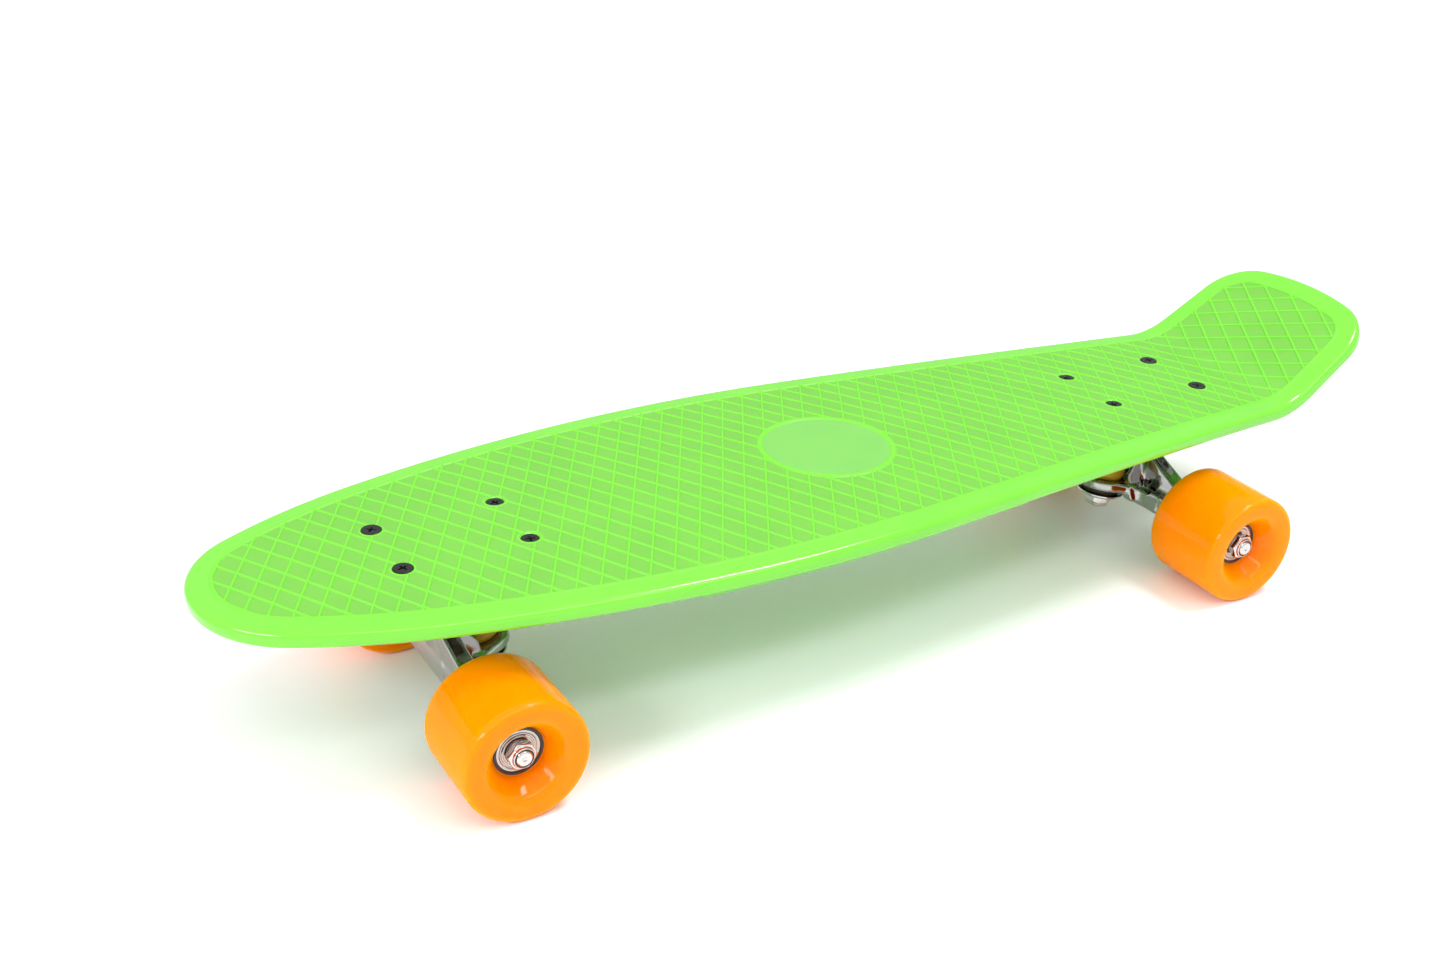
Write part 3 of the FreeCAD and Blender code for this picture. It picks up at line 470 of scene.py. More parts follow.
def dress_cad_nodes():
    """Gives every carried-over CAD node the material of its kind."""
    for name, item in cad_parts.items():
        kind = name
        for word in (*ENDS, *HANDS):
            if kind.startswith(word + "_"):
                kind = kind[len(word) + 1:]
        item.data.materials.clear()
        item.data.materials.append(NODE_MATERIALS[kind])


dress_cad_nodes()


# Deck: the outline is a chain of tangent arcs, the same on both sides

NOSE_REACH = 337.0
OUTLINE_ARCS = ((54.0, 62.4), (302.0, 14.1), (759.0, 19.9))  # nose to widest part: radius, degrees
WAIST_ARC = (-3379.0, 2.2)  # hollow, behind a straight taper
CORNER_ARC = (31.4, 74.9)
END_RADIUS = 176.0
TRUCK_SPACING = 424.6
CAMBER_RISE = 2.2
CROWN_RADIUS = 1667.0
KICK_START = 265.9
KICK_BEND_RADIUS = 45.0
KICK_ANGLE = 31.8
KICK_BEND_SPARE = 1.5  # degrees that the creases run past the bend
KICK_CREASE_GAP = 2.5
SKIN = 4.6
RIM_DEPTH = 8.4
RIM_WALL = 4.2
TOP_ROUND, LOW_ROUND = 3.3, 2.6
PAD_DEPTH = 12.0
BOLT_LONG, BOLT_WIDE = 63.5, 41.3

CAMBER_RADIUS = (TRUCK_SPACING / 2) ** 2 / (2 * CAMBER_RISE)
bolt_crown = CROWN_RADIUS - math.sqrt(CROWN_RADIUS**2 - (BOLT_WIDE / 2) ** 2)
DECK_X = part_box("deck")[1].x / MM - NOSE_REACH
DECK_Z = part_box("deck_bolts")[1].z / MM + bolt_crown


def unit(degrees):
    return np.array([math.cos(math.radians(degrees)), math.sin(math.radians(degrees))])


def walk_outline(taper, step=2.2):
    """Points and outward normals along the left half of the outline, for a straight taper of that length."""
    spot, heading = np.array([NOSE_REACH, 0.0]), 90.0
    points, normals = [spot], [unit(0)]
    corner_turn = 270 - (90 + sum(turn for _, turn in OUTLINE_ARCS) - WAIST_ARC[1] + CORNER_ARC[1])
    for radius, turn in (*OUTLINE_ARCS, (0, taper), WAIST_ARC, CORNER_ARC, (END_RADIUS, corner_turn)):
        if not radius:
            count = max(1, round(turn / step))
            points += [spot + unit(heading) * turn * share for share in np.arange(1, count + 1) / count]
            normals += [unit(heading - 90)] * count
            spot = points[-1]
            continue
        turn = math.copysign(turn, radius)
        centre = spot + unit(heading + 90) * radius
        count = max(3, round(abs(math.radians(turn) * radius) / step), round(abs(turn) / 3))
        for share in np.arange(1, count + 1) / count:
            out = unit(heading - 90 + turn * share)
            points.append(centre + out * radius)
            normals.append(out)
        heading += turn
        spot = points[-1]
    return np.array(points), np.array(normals)


def outline():
    """The whole outline as points and outward normals, anticlockwise from the nose."""
    taper_heading = 90 + sum(turn for _, turn in OUTLINE_ARCS)
    surplus = walk_outline(0)[0][-1][1]
    points, normals = walk_outline(surplus / -math.sin(math.radians(taper_heading)))
    flip = np.array([1, -1])
    points = np.concatenate([points[:-1], (points * flip)[::-1][:-1]])
    normals = np.concatenate([normals[:-1], (normals * flip)[::-1][:-1]])
    return points, normals


EDGE, EDGE_OUT = outline()


def inset_of(flat):
    """How far flat points lie inside the outline."""
    flat = np.asarray(flat, float)
    result = np.empty(len(flat))
    for start in range(0, len(flat), 4000):
        part = flat[start:start + 4000]
        away = part[:, None, :] - EDGE[None]
        nearest = (away**2).sum(2).argmin(1)
        result[start:start + 4000] = -(away[np.arange(len(part)), nearest] * EDGE_OUT[nearest]).sum(1)
    return result


def loop_at(inset):
    return EDGE - EDGE_OUT * inset


def deck_frame(s):
    """For each distance s: the place on the top's middle line (x, z), and the slope angle there."""
    start_angle = math.asin(-KICK_START / CAMBER_RADIUS)
    final_angle = math.radians(KICK_ANGLE)
    bend_length = (final_angle - start_angle) * KICK_BEND_RADIUS
    along = np.maximum(s, -KICK_START)
    angle = np.arcsin(along / CAMBER_RADIUS)
    x = along.copy()
    z = CAMBER_RISE - CAMBER_RADIUS * (1 - np.cos(angle))
    past = np.clip(-KICK_START - s, 0, bend_length)
    bend = start_angle + past / KICK_BEND_RADIUS
    x += KICK_BEND_RADIUS * (math.sin(start_angle) - np.sin(bend)) * (s < -KICK_START)
    z += KICK_BEND_RADIUS * (math.cos(start_angle) - np.cos(bend)) * (s < -KICK_START)
    angle = np.where(s < -KICK_START, bend, angle)
    straight = np.maximum(-KICK_START - bend_length - s, 0)
    return x - straight * math.cos(final_angle), z + straight * math.sin(final_angle), angle


def on_deck(flat, depth):
    """Flat points laid on the board's curved top and sunk into it, in the row frame."""
    flat = np.asarray(flat, float)
    x, z, angle = deck_frame(flat[:, 0])
    sunk = depth + CROWN_RADIUS - np.sqrt(CROWN_RADIUS**2 - flat[:, 1] ** 2)
    return np.stack([DECK_X + x - np.sin(angle) * sunk, flat[:, 1], DECK_Z + z - np.cos(angle) * sunk], 1)


def kick_lines(loop, free):
    """Creases across the board wherever it bends up into the kicktail."""
    bend_length = math.radians(KICK_ANGLE + KICK_BEND_SPARE) * KICK_BEND_RADIUS
    lines = []
    for s in np.arange(-KICK_START - bend_length - 2, -KICK_START + 3, KICK_CREASE_GAP):
        lines += clipped_line(np.array([1.0, 0.0]), s, [loop], free)
    return lines


# Deck surface: both faces are heights over the flat outline, creased along the lines of each feature.

LATTICE_LINE_GAP = 11.0
LATTICE_ANGLE = 60.0
RIB_FOOT, RIB_TOP, RIB_HEIGHT = 0.78, 0.36, 0.5
BORDER_FOOT, BORDER_TOP, BORDER_HEIGHT = 1.1, 0.5, 0.5
BORDER_INSET = 12.3
TOP_EDGE_INSET = 10.6
PATCH_RING, PATCH_RING_HALF, PATCH_RING_TOP = 35.3, 1.7, 0.9
PATCH_SINK = 0.55
BOSS_FOOT, BOSS_TOP, BOSS_HEIGHT = 6.1, 5.7, 0.18
BOLT_MOUTH = 5.12
LOOP_SIDES, PATCH_SIDES, PATCH_STOP_SIDES = 32, 96, 180
SHADED_CELL_PAINT, RIM_PAINT, RIDGE_PAINT, PATCH_PAINT = range(4)

BOLT_SPOTS = [
    np.array([end * TRUCK_SPACING / 2 + dx, dy])
    for end in ENDS.values()
    for dx in (-BOLT_LONG / 2, BOLT_LONG / 2)
    for dy in (-BOLT_WIDE / 2, BOLT_WIDE / 2)
]


def circle(centre, radius, count):
    angles = np.linspace(0, 2 * math.pi, count, endpoint=False)
    return np.stack([centre[0] + radius * np.cos(angles), centre[1] + radius * np.sin(angles)], 1)


def slope_between(value, foot, top):
    """1 inside top, falling to 0 at foot."""
    return np.clip((foot - value) / (foot - top), 0, 1)


def ridge_offsets(foot, top):
    """The four creases of a ridge, across it."""
    return -foot, -top, top, foot


def line_families():
    """The lattice's two unit normals, across its lines."""
    angle = math.radians(LATTICE_ANGLE)
    return [np.array([math.sin(angle), -math.cos(angle)]), np.array([math.sin(angle), math.cos(angle)])]


def lattice_height(flat):
    """How far the crossed ribs stand up from the cells."""
    height = np.zeros(len(flat))
    for normal in line_families():
        across = flat @ normal
        away = np.abs(across - np.round(across / LATTICE_LINE_GAP) * LATTICE_LINE_GAP)
        height = np.maximum(height, RIB_HEIGHT * slope_between(away, RIB_FOOT, RIB_TOP))
    return height


def clear_of_features(flat, inset):
    """Where the lattice shows: inside the border and outside the patch and the bosses."""
    free = (inset > BORDER_INSET - 1e-3) & (np.linalg.norm(flat, axis=1) > PATCH_RING - 1e-3)
    for spot in BOLT_SPOTS:
        free &= np.linalg.norm(flat - spot, axis=1) > BOSS_TOP - 1e-3
    return free


def top_height(flat, inset):
    """The textured face's height over the plain curved top."""
    height = np.where(clear_of_features(flat, inset), lattice_height(flat), 0)
    border = slope_between(np.abs(inset - BORDER_INSET), BORDER_FOOT, BORDER_TOP)
    height = np.maximum(height, BORDER_HEIGHT * border)
    reach = np.linalg.norm(flat, axis=1)
    ring = slope_between(np.abs(reach - PATCH_RING), PATCH_RING_HALF, PATCH_RING_TOP)
    height = np.maximum(height, BORDER_HEIGHT * ring)
    sunken = BORDER_HEIGHT * ring - PATCH_SINK * (1 - ring)
    height = np.where(reach < PATCH_RING - PATCH_RING_TOP, sunken, height)
    for spot in BOLT_SPOTS:
        boss = slope_between(np.linalg.norm(flat - spot, axis=1), BOSS_FOOT, BOSS_TOP)
        height = np.maximum(height, BOSS_HEIGHT * boss)
    return height


def clipped_line(normal, across, loops, free):
    """The stretches of an endless straight line that lie where free() is true."""
    along = np.array([-normal[1], normal[0]])
    cuts = []
    for loop in loops:
        side = loop @ normal - across
        after = np.roll(side, -1)
        crossed = np.nonzero((side < 0) != (after < 0))[0]
        share = side[crossed] / (side[crossed] - after[crossed])
        spots = loop[crossed] + (np.roll(loop, -1, 0)[crossed] - loop[crossed]) * share[:, None]
        cuts += (spots @ along).tolist()
    cuts.sort()
    if len(cuts) < 2:
        return []
    middles = np.array([normal * across + along * (a + b) / 2 for a, b in zip(cuts, cuts[1:])])
    shown = free(middles)
    return [
        (normal * across + along * a, normal * across + along * b)
        for a, b, use in zip(cuts, cuts[1:], shown)
        if use and b - a > 0.05
    ]


def triangulated(loops, lines):
    """Flat triangles inside the first loop and outside the holes, which are the loops named next.

    loops is (outer loop, holes, creases). Lines crease the sheet. Gives the points, the triangles and,
    for the outer loop and each hole, the numbers of their points.
    """
    outer, holes, creases = loops
    points, edges, walls = [], [], []
    for number, loop in enumerate([outer, *holes, *creases]):
        start = len(points)
        points += [Vector(p) for p in loop]
        ring = [(start + n, start + (n + 1) % len(loop)) for n in range(len(loop))]
        edges += ring
        if number <= len(holes):
            walls.append(ring)
    for a, b in lines:
        edges.append((len(points), len(points) + 1))
        points += [Vector(a), Vector(b)]
    made, _, faces, origins, _, _ = geometry.delaunay_2d_cdt(points, edges, [], 0, 1e-4)
    now = {old: new for new, group in enumerate(origins) for old in group}
    rings = [[now[a] for a, _ in ring] for ring in walls]
    barred = {frozenset((now[a], now[b])) for ring in walls for a, b in ring}
    flat = np.array([tuple(p) for p in made])
    faces = np.array(faces)[inside_walls(faces, barred)]
    return flat, faces, rings


def inside_walls(faces, barred):
    """The largest set of triangles that can be walked without crossing a barred edge."""
    beside = {}
    for number, face in enumerate(faces):
        for corner in range(3):
            edge = frozenset((face[corner], face[corner - 1]))
            if edge not in barred:
                beside.setdefault(edge, []).append(number)
    neighbours = [[] for _ in faces]
    for pair in beside.values():
        if len(pair) == 2:
            neighbours[pair[0]].append(pair[1])
            neighbours[pair[1]].append(pair[0])
    group = [-1] * len(faces)
    sizes = []
    for start in range(len(faces)):
        if group[start] >= 0:
            continue
        group[start] = len(sizes)
        queue = [start]
        for number in queue:
            for other in neighbours[number]:
                if group[other] < 0:
                    group[other] = len(sizes)
                    queue.append(other)
        sizes.append(len(queue))
    return np.array(group) == int(np.argmax(sizes))


def top_sheet():
    """The board's textured face, out to a loop just outside the border line."""
    edge = loop_at(TOP_EDGE_INSET)
    mouths = [circle(spot, BOLT_MOUTH, LOOP_SIDES) for spot in BOLT_SPOTS]
    creases = [loop_at(BORDER_INSET + offset) for offset in ridge_offsets(BORDER_FOOT, BORDER_TOP)]
    rings = [PATCH_RING + offset for offset in ridge_offsets(PATCH_RING_HALF, PATCH_RING_TOP)]
    creases += [circle((0, 0), radius, PATCH_SIDES) for radius in rings]
    creases += [circle(spot, radius, LOOP_SIDES) for spot in BOLT_SPOTS for radius in (BOSS_TOP, BOSS_FOOT)]
    stops = [loop_at(BORDER_INSET), circle((0, 0), PATCH_RING, PATCH_STOP_SIDES)]
    stops += [circle(spot, BOSS_TOP, LOOP_SIDES) for spot in BOLT_SPOTS]

    def shown(middles):
        return clear_of_features(middles, inset_of(middles))

    lines = []
    for normal in line_families():
        reach = int(NOSE_REACH * 1.1 / LATTICE_LINE_GAP)
        for number in range(-reach, reach + 1):
            for offset in ridge_offsets(RIB_FOOT, RIB_TOP):
                lines += clipped_line(normal, number * LATTICE_LINE_GAP + offset, stops, shown)
    lines += kick_lines(loop_at(BORDER_INSET + BORDER_FOOT), lambda p: p[:, 0] < 0)

    flat, faces, rings = triangulated((edge, mouths, creases), lines)
    inset = inset_of(flat)
    height = top_height(flat, inset)
    middles = flat[faces].mean(1)
    # Flat cell floors take the darker green of painted shade; ribs, border and bosses keep the plain deck
    # green.
    cell = clear_of_features(middles, inset_of(middles)) & (height[faces].max(1) < 0.02)
    patch = np.linalg.norm(middles, axis=1) < PATCH_RING - PATCH_RING_HALF
    paint = np.where(patch, PATCH_PAINT, np.where(cell, SHADED_CELL_PAINT, RIDGE_PAINT))
    paint = np.where(inset_of(middles) < BORDER_INSET - BORDER_FOOT, RIM_PAINT, paint)
    return on_deck(flat, -height), faces, rings[0], rings[1:], paint


# Underside: ribs, side rails and truck pads stand down from the skin.

RIB_HALF = 1.3
RIB_SHY = 0.3  # the ribs end this far above the rim's foot
DRAFT = 0.35
CROSS_RIB_GAP, LONG_RIB_GAP = 44.0, 28.0
CROSS_RIB_LINES, LONG_RIB_LINES = 8, 2
RAIL_FRONT, RAIL_BACK, RAIL_INSET, RAIL_WIDTH, RAIL_DEPTH = 125.0, -75.0, 6.0, 3.4, 12.6
PAD_LENGTH, PAD_WIDTH = 86.0, 60.0
UNDER_EDGE_INSET = 5.3
BOLT_HOLE = 2.6
BOLT_WELL = ((5.0, 0.12), (BOLT_HOLE, 2.75), (BOLT_HOLE, 7.0))  # rings down a bolt's hole: radius, depth
RIM_BAND = ((9.2, 0.0), (7.2, 0.0), (5.2, 0.02))  # the flat band outside the border: inset, depth
# The wall inside the rim, up from its foot: how far past RIM_WALL, and the depth
RIM_INSIDE = ((-0.6, RIM_DEPTH), (-0.1, 8.1), (0.05, 7.6), (0.2, 6.4), (0.35, 5.3), (0.6, 4.75))


def features_below(flat, inset):
    """Each underside feature as (how far outside it a point is, its depth there)."""
    s, y = flat[:, 0], flat[:, 1]
    cross = np.abs(s - np.round(s / CROSS_RIB_GAP) * CROSS_RIB_GAP) - RIB_HALF
    lane = np.clip(np.round(y / LONG_RIB_GAP), -LONG_RIB_LINES, LONG_RIB_LINES) * LONG_RIB_GAP
    along = np.abs(y - lane) - RIB_HALF
    across_rail = np.maximum(RAIL_INSET - inset, inset - RAIL_INSET - RAIL_WIDTH)
    rail = np.maximum(across_rail, np.maximum(s - RAIL_FRONT, RAIL_BACK - s))
    pad = np.maximum(np.abs(np.abs(s) - TRUCK_SPACING / 2) - PAD_LENGTH / 2, np.abs(y) - PAD_WIDTH / 2)
    _, z, _ = deck_frame(s)
    crown = CROWN_RADIUS - np.sqrt(CROWN_RADIUS**2 - y**2)
    rib_depth = RIM_DEPTH - RIB_SHY
    return (cross, rib_depth), (along, rib_depth), (rail, RAIL_DEPTH), (pad, PAD_DEPTH + z - crown)


def under_depth(flat, inset):
    """The underside's depth below the plain curved top."""
    depth = np.full(len(flat), SKIN)
    for outside, deep in features_below(flat, inset):
        depth = np.maximum(depth, SKIN + (deep - SKIN) * np.clip(-outside / DRAFT, 0, 1))
    return depth


def rectangle(low, high):
    return np.array([(low[0], low[1]), (high[0], low[1]), (high[0], high[1]), (low[0], high[1])])


def rail_loop(side, trim):
    """The outline of one side rail, drawn in by a trim."""
    on_side = loop_at(0)[:, 1] * side > 0
    outer, inner = loop_at(RAIL_INSET + trim), loop_at(RAIL_INSET + RAIL_WIDTH - trim)

    def between_ends(line):
        return line[on_side & (line[:, 0] < RAIL_FRONT - trim) & (line[:, 0] > RAIL_BACK + trim)]

    def capped(line):
        order = np.argsort(line[:, 0])
        line = line[order]
        ends = [RAIL_BACK + trim, RAIL_FRONT - trim]
        heights = np.interp(ends, line[:, 0], line[:, 1])
        return np.vstack([(ends[0], heights[0]), line, (ends[1], heights[1])])

    return np.vstack([capped(between_ends(outer)), capped(between_ends(inner))[::-1]])


def under_sheet():
    """The ribbed face below, out to a loop inside the rim's wall."""
    edge = loop_at(UNDER_EDGE_INSET)
    holes = [circle(spot, BOLT_HOLE, LOOP_SIDES) for spot in BOLT_SPOTS]
    creases = []
    for trim in (0, DRAFT):
        creases += [rail_loop(side, trim) for side in (1, -1)]
        for end in ENDS.values():
            half = np.array([PAD_LENGTH / 2 - trim, PAD_WIDTH / 2 - trim])
            centre = np.array([end * TRUCK_SPACING / 2, 0])
            creases.append(rectangle(centre - half, centre + half))
    inner = loop_at(UNDER_EDGE_INSET + 0.5)

    def everywhere(middles):
        return inset_of(middles) > UNDER_EDGE_INSET

    lines = []
    for offset in (-RIB_HALF, -RIB_HALF + DRAFT, RIB_HALF - DRAFT, RIB_HALF):
        for number in range(-CROSS_RIB_LINES, CROSS_RIB_LINES):
            lines += clipped_line(np.array([1.0, 0.0]), number * CROSS_RIB_GAP + offset, [inner], everywhere)
        for number in range(-LONG_RIB_LINES, LONG_RIB_LINES + 1):
            lines += clipped_line(np.array([0.0, 1.0]), number * LONG_RIB_GAP + offset, [inner], everywhere)
    lines += kick_lines(inner, everywhere)

    flat, faces, rings = triangulated((edge, holes, creases), lines)
    return on_deck(flat, under_depth(flat, inset_of(flat))), faces[:, ::-1], rings[0], rings[1:]


def rim_section():
    """The rim from the top's edge round to the underside's, as (inset, depth)."""
    section = list(RIM_BAND)
    for angle in np.linspace(0, 90, 10):
        drop = math.radians(angle)
        section.append((TOP_ROUND * (1 - math.sin(drop)), TOP_ROUND * (1 - math.cos(drop))))
    section.append((0.0, (TOP_ROUND + RIM_DEPTH - LOW_ROUND) / 2))
    for angle in np.linspace(0, 90, 7):
        drop = math.radians(angle)
        section.append((LOW_ROUND * (1 - math.cos(drop)), RIM_DEPTH - LOW_ROUND * (1 - math.sin(drop))))
    return section + [(RIM_WALL + past, depth) for past, depth in RIM_INSIDE]


def strip(first, second):
    """Quads between two rings of point numbers."""
    count = len(first)
    return [[first[n], first[(n + 1) % count], second[(n + 1) % count], second[n]] for n in range(count)]


def deck():
    """The whole moulding: both sheets, the rim between them and the bolt holes through them."""
    top, top_faces, top_edge, mouths, top_paint = top_sheet()
    under, under_faces, under_edge, holes = under_sheet()
    points = [top, under]
    under_start = len(top)
    total = len(top) + len(under)
    faces = top_faces.tolist() + (under_faces + under_start).tolist()
    paint = top_paint.tolist() + [RIM_PAINT] * len(under_faces)
    rings = [top_edge]
    for inset, depth in rim_section():
        points.append(on_deck(loop_at(inset), np.full(len(EDGE), depth)))
        rings.append(list(range(total, total + len(EDGE))))
        total += len(EDGE)
    rings.append([number + under_start for number in under_edge])
    for first, second in zip(rings, rings[1:]):
        faces += [ring[::-1] for ring in strip(first, second)]
    for spot, mouth, hole in zip(BOLT_SPOTS, mouths, holes):
        ladder = [mouth]
        for radius, depth in BOLT_WELL:
            ring = circle(spot, radius, LOOP_SIDES)
            points.append(on_deck(ring, np.full(LOOP_SIDES, depth)))
            ladder.append(list(range(total, total + LOOP_SIDES)))
            total += LOOP_SIDES
        ladder.append([number + under_start for number in hole])
        for first, second in zip(ladder, ladder[1:]):
            faces += strip(first, second)
    paint += [RIM_PAINT] * (len(faces) - len(paint))
    board = mesh_object("deck_board", np.concatenate(points), faces, (SHADED_SATIN, GLOSS, RIDGE, PATCH), "board",
                        "deck_plastic", ("deck",), 28, paint)
    level = board.modifiers.new("flat_normals", "WEIGHTED_NORMAL")
    level.keep_sharp = True
    return board


deck()


# Fasteners


def helix_groove(points, radius, pitch, depth):
    """A threaded bar about Z."""
    turn = np.arctan2(points[:, 1], points[:, 0])
    wave = np.abs((points[:, 2] / pitch - turn / (2 * math.pi)) % 1 - 0.5) * 2
    return (from_axis(points) - radius + depth * wave) * 0.8


def chamfered_hexagon(points, flats, low, high):
    """A hexagon bar whose corners are turned away at 30 degrees."""
    reach = from_axis(points)
    slope = math.tan(math.radians(30))
    cap = (points[:, 2] - high + (reach - flats * 0.49) * slope) * 0.87
    foot = (low - points[:, 2] + (reach - flats * 0.49) * slope) * 0.87
    ends = np.maximum(np.maximum(points[:, 2] - high, low - points[:, 2]), np.maximum(cap, foot))
    return soft_max(hexagon_field(points, flats), ends, 0.25)


BOLT_RADIUS, BOLT_HEAD, BOLT_HEAD_DEPTH, BOLT_LENGTH = 2.4, 5.0, 2.7, 25.0
BOLT_EDGE, BOLT_THREAD_DEPTH = 0.55, 0.35
CROSS_ARM, CROSS_TAPER, CROSS_HALF, CROSS_CENTRE, CROSS_DEPTH = 2.75, 0.55, 0.5, 1.15, 1.9
DECK_NUT_FLATS, DECK_NUT_HEIGHT, DECK_NUT_HEXAGON, DECK_NUT_COLLAR = 9.5, 5.2, 3.7, 4.1
BOLT_SLIP, SLIP, AXLE_SLIP = 0.05, 0.03, 0.04
PLATE_THICK = 5.0
MOUNT_Z = DECK_Z - PAD_DEPTH


def bolt_field(p):
    """A countersunk bolt with a cross recess, its head's top at the origin."""
    reach = from_axis(p)
    taper = np.interp(-p[:, 2], (0, BOLT_EDGE, BOLT_HEAD_DEPTH), (BOLT_HEAD, BOLT_HEAD, BOLT_RADIUS))
    head = soft_max((reach - taper) * 0.75, p[:, 2], 0.5)
    head = np.maximum(head, -BOLT_HEAD_DEPTH - p[:, 2])
    plain = reach - BOLT_RADIUS + BOLT_SLIP
    shank = np.where(p[:, 2] < -PAD_DEPTH, helix_groove(p, BOLT_RADIUS, 1.0, BOLT_THREAD_DEPTH), plain)
    shank = soft_max(shank, np.maximum(-BOLT_LENGTH - p[:, 2], p[:, 2] + 1), 0.5)
    arm = CROSS_ARM + p[:, 2] * CROSS_TAPER
    across, along = np.abs(p[:, 0]), np.abs(p[:, 1])
    cross = np.minimum(
        np.maximum(across - CROSS_HALF, along - arm),
        np.maximum(along - CROSS_HALF, across - arm),
    )
    cross = np.minimum(cross, reach - CROSS_CENTRE - p[:, 2] * 0.3)
    cross = np.maximum(cross, -CROSS_DEPTH - p[:, 2])
    return soft_max(soft_min(head, shank, 0.3), -cross, 0.2)


def deck_nut_field(p):
    """A lock nut hanging under the origin, its round collar downwards."""
    reach = from_axis(p)
    hexagon = chamfered_hexagon(p, DECK_NUT_FLATS, -DECK_NUT_HEXAGON, 0)
    collar = soft_max(reach - DECK_NUT_COLLAR, np.maximum(-DECK_NUT_HEIGHT - p[:, 2], p[:, 2] + 1), 0.8)
    bore = reach - BOLT_RADIUS - BOLT_SLIP
    return np.maximum(soft_min(hexagon, collar, 0.3), -bore)


def deck_fasteners():
    """Eight bolts through the deck and baseplates, each turned a different way, and their nuts."""
    bolt = field_shape(bolt_field, (-5.2, -5.2, -25.2), (5.2, 5.2, 0.3), 0.26)
    nut = field_shape(deck_nut_field, (-5.6, -5.6, -5.4), (5.6, 5.6, 0.2), 0.3)
    bolts, nuts = [], []
    for number, (s, y) in enumerate(BOLT_SPOTS):
        crown = CROWN_RADIUS - math.sqrt(CROWN_RADIUS**2 - y**2)
        turn = spin(17 + 61 * number, "Z")
        bolts.append(placed(bolt, shift(DECK_X + s, y, DECK_Z - crown) @ turn))
        nuts.append(placed(nut, shift(DECK_X + s, y, MOUNT_Z - PLATE_THICK) @ turn))
    mesh_object("bolts", *joined(bolts), (OXIDE,), "board", "black_bolt", ("deck_bolts",))
    mesh_object("bolt_nuts", *joined(nuts), (ZINC,), "board", "zinc_steel", ("deck_bolt_nuts",))


deck_fasteners()


# Trucks: shapes in truck axes, from the middle of the mounting face, +X away from the board's middle

AXLE_OFFSET, AXLE_DROP = 7.4, 52.4
RING_OFFSET, RING_DROP, RING_RADIUS, RING_HALF, RING_BORE = 11.8, 48.6, 16.0, 3.0, 7.6
KINGPIN_LEAN, KINGPIN_RADIUS = 8.0, 4.75
PLATE = (80.0, 56.0, PLATE_THICK)
PLATE_CORNER = 7.0
SEAT = 19.0  # along the kingpin, from the ring's middle
LOWER_BUSHING, WASHER, WASHER_RIM = 4.4, 1.5, 1.0
BUSHING_RADIUS, LOWER_BUSHING_RADIUS = 12.0, 11.5
UPPER_WASHER_RADIUS, LOWER_WASHER_RADIUS = 12.8, 14.0
KINGPIN_NUT_FLATS, KINGPIN_NUT_HEIGHT = 14.3, 7.0
PIN_HEAD, PIN_HEAD_HEIGHT, PIN_HEAD_RADIUS = RING_DROP - 2, 6.0, 8.0
BEAM_LOW, BEAM_HIGH, BEAM_RISE, BEAM_END, HANGER_HALF = -1.3, 13.7, 6.0, 9.0, 67.2
BALL_RADIUS, CUP_RADIUS, CUP_BOSS = 5.5, 8.0, 11.5
NECK_RADIUS, NECK_LENGTH, COLUMN_RADIUS = 5.2, 14.0, 7.0
COLUMN_FOOT = np.array([12.0, 0.0, -36.0])
AXLE_RADIUS, AXLE_HALF = 4.0, 99.6
STEER_LIMIT, PLATE_GAP = 15.0, 0.7
FLANGE_HALF, FLANGE_SWEEP = 36, 22
BEAM_HALF, TUBE_START, TUBE_BLEND = 58, 47, 10
CASTING_FOOT = -56
POCKET_SIDE, POCKET_HEIGHT, POCKET_HALF, POCKET_FRONT, POCKET_BACK = 24, -44, 6, 9, 3
BODY_BACK, BODY_TOP = 13.4, -27
BUSHING_ROOM, ROOM_FLARE, ROOM_TOP = 13.8, 0.12, 17  # room for the cushion, widening up the kingpin
RIM_ROOM = 1.8

# Each of these is a pair for np.interp: where, and the value there
WEB_CREST = ((0, 10, 24, 44, 60, 66), (-24.5, -25, -31, -38.5, -47.5, -52))  # height, by side
WEB_LEAN = ((-50, -25), (AXLE_OFFSET, 11.0))  # x, by height
WEB_THICK = ((-50, -38, -25), (5.6, 4.8, 4.2))  # half, by height
BODY_WIDTH = ((-54, -44, -26), (22, 17.5, 9.5))  # half, by height
BODY_FRONT = ((-50, -40, -30, -26), (-8, -6, 3, 4.5))  # x, by height
BOSS_TAPER = ((SEAT, RING_DROP + 6), (13.5, 15.5))  # radius, by height along the kingpin

PIN = shift(-RING_OFFSET, 0, -RING_DROP) @ spin(KINGPIN_LEAN, "Y")
PIVOT = Vector((27.0, 0, -14.0))
STEER = (PIVOT - PIN.translation).normalized()
CUP = Matrix.Translation(PIVOT) @ Vector((0, 0, 1)).rotation_difference(STEER).to_matrix().to_4x4()


def truck_place(end):
    return shift(DECK_X + ENDS[end] * TRUCK_SPACING / 2, 0, MOUNT_Z) @ spin(90 - 90 * ENDS[end], "Z")


def flange_field(p, pin, reach):
    """The flange that sweeps from the ring out into the beam."""
    root = RING_OFFSET + BEAM_LOW
    outward = np.maximum(root - pin[:, 0], np.abs(p[:, 1]) - FLANGE_HALF)
    plan = soft_min(reach - RING_RADIUS + 0.6, outward, FLANGE_SWEEP)
    low_face = np.interp(pin[:, 0], (-6, 2, root, root + 8), (-RING_HALF, -RING_HALF - 0.5, -7.6, -8.4))
    layer = np.maximum(pin[:, 2] - RING_HALF, (low_face - pin[:, 2]) * 0.85)
    return soft_max(soft_max(plan, layer, 2.6), pin[:, 0] - root - 10, 2)


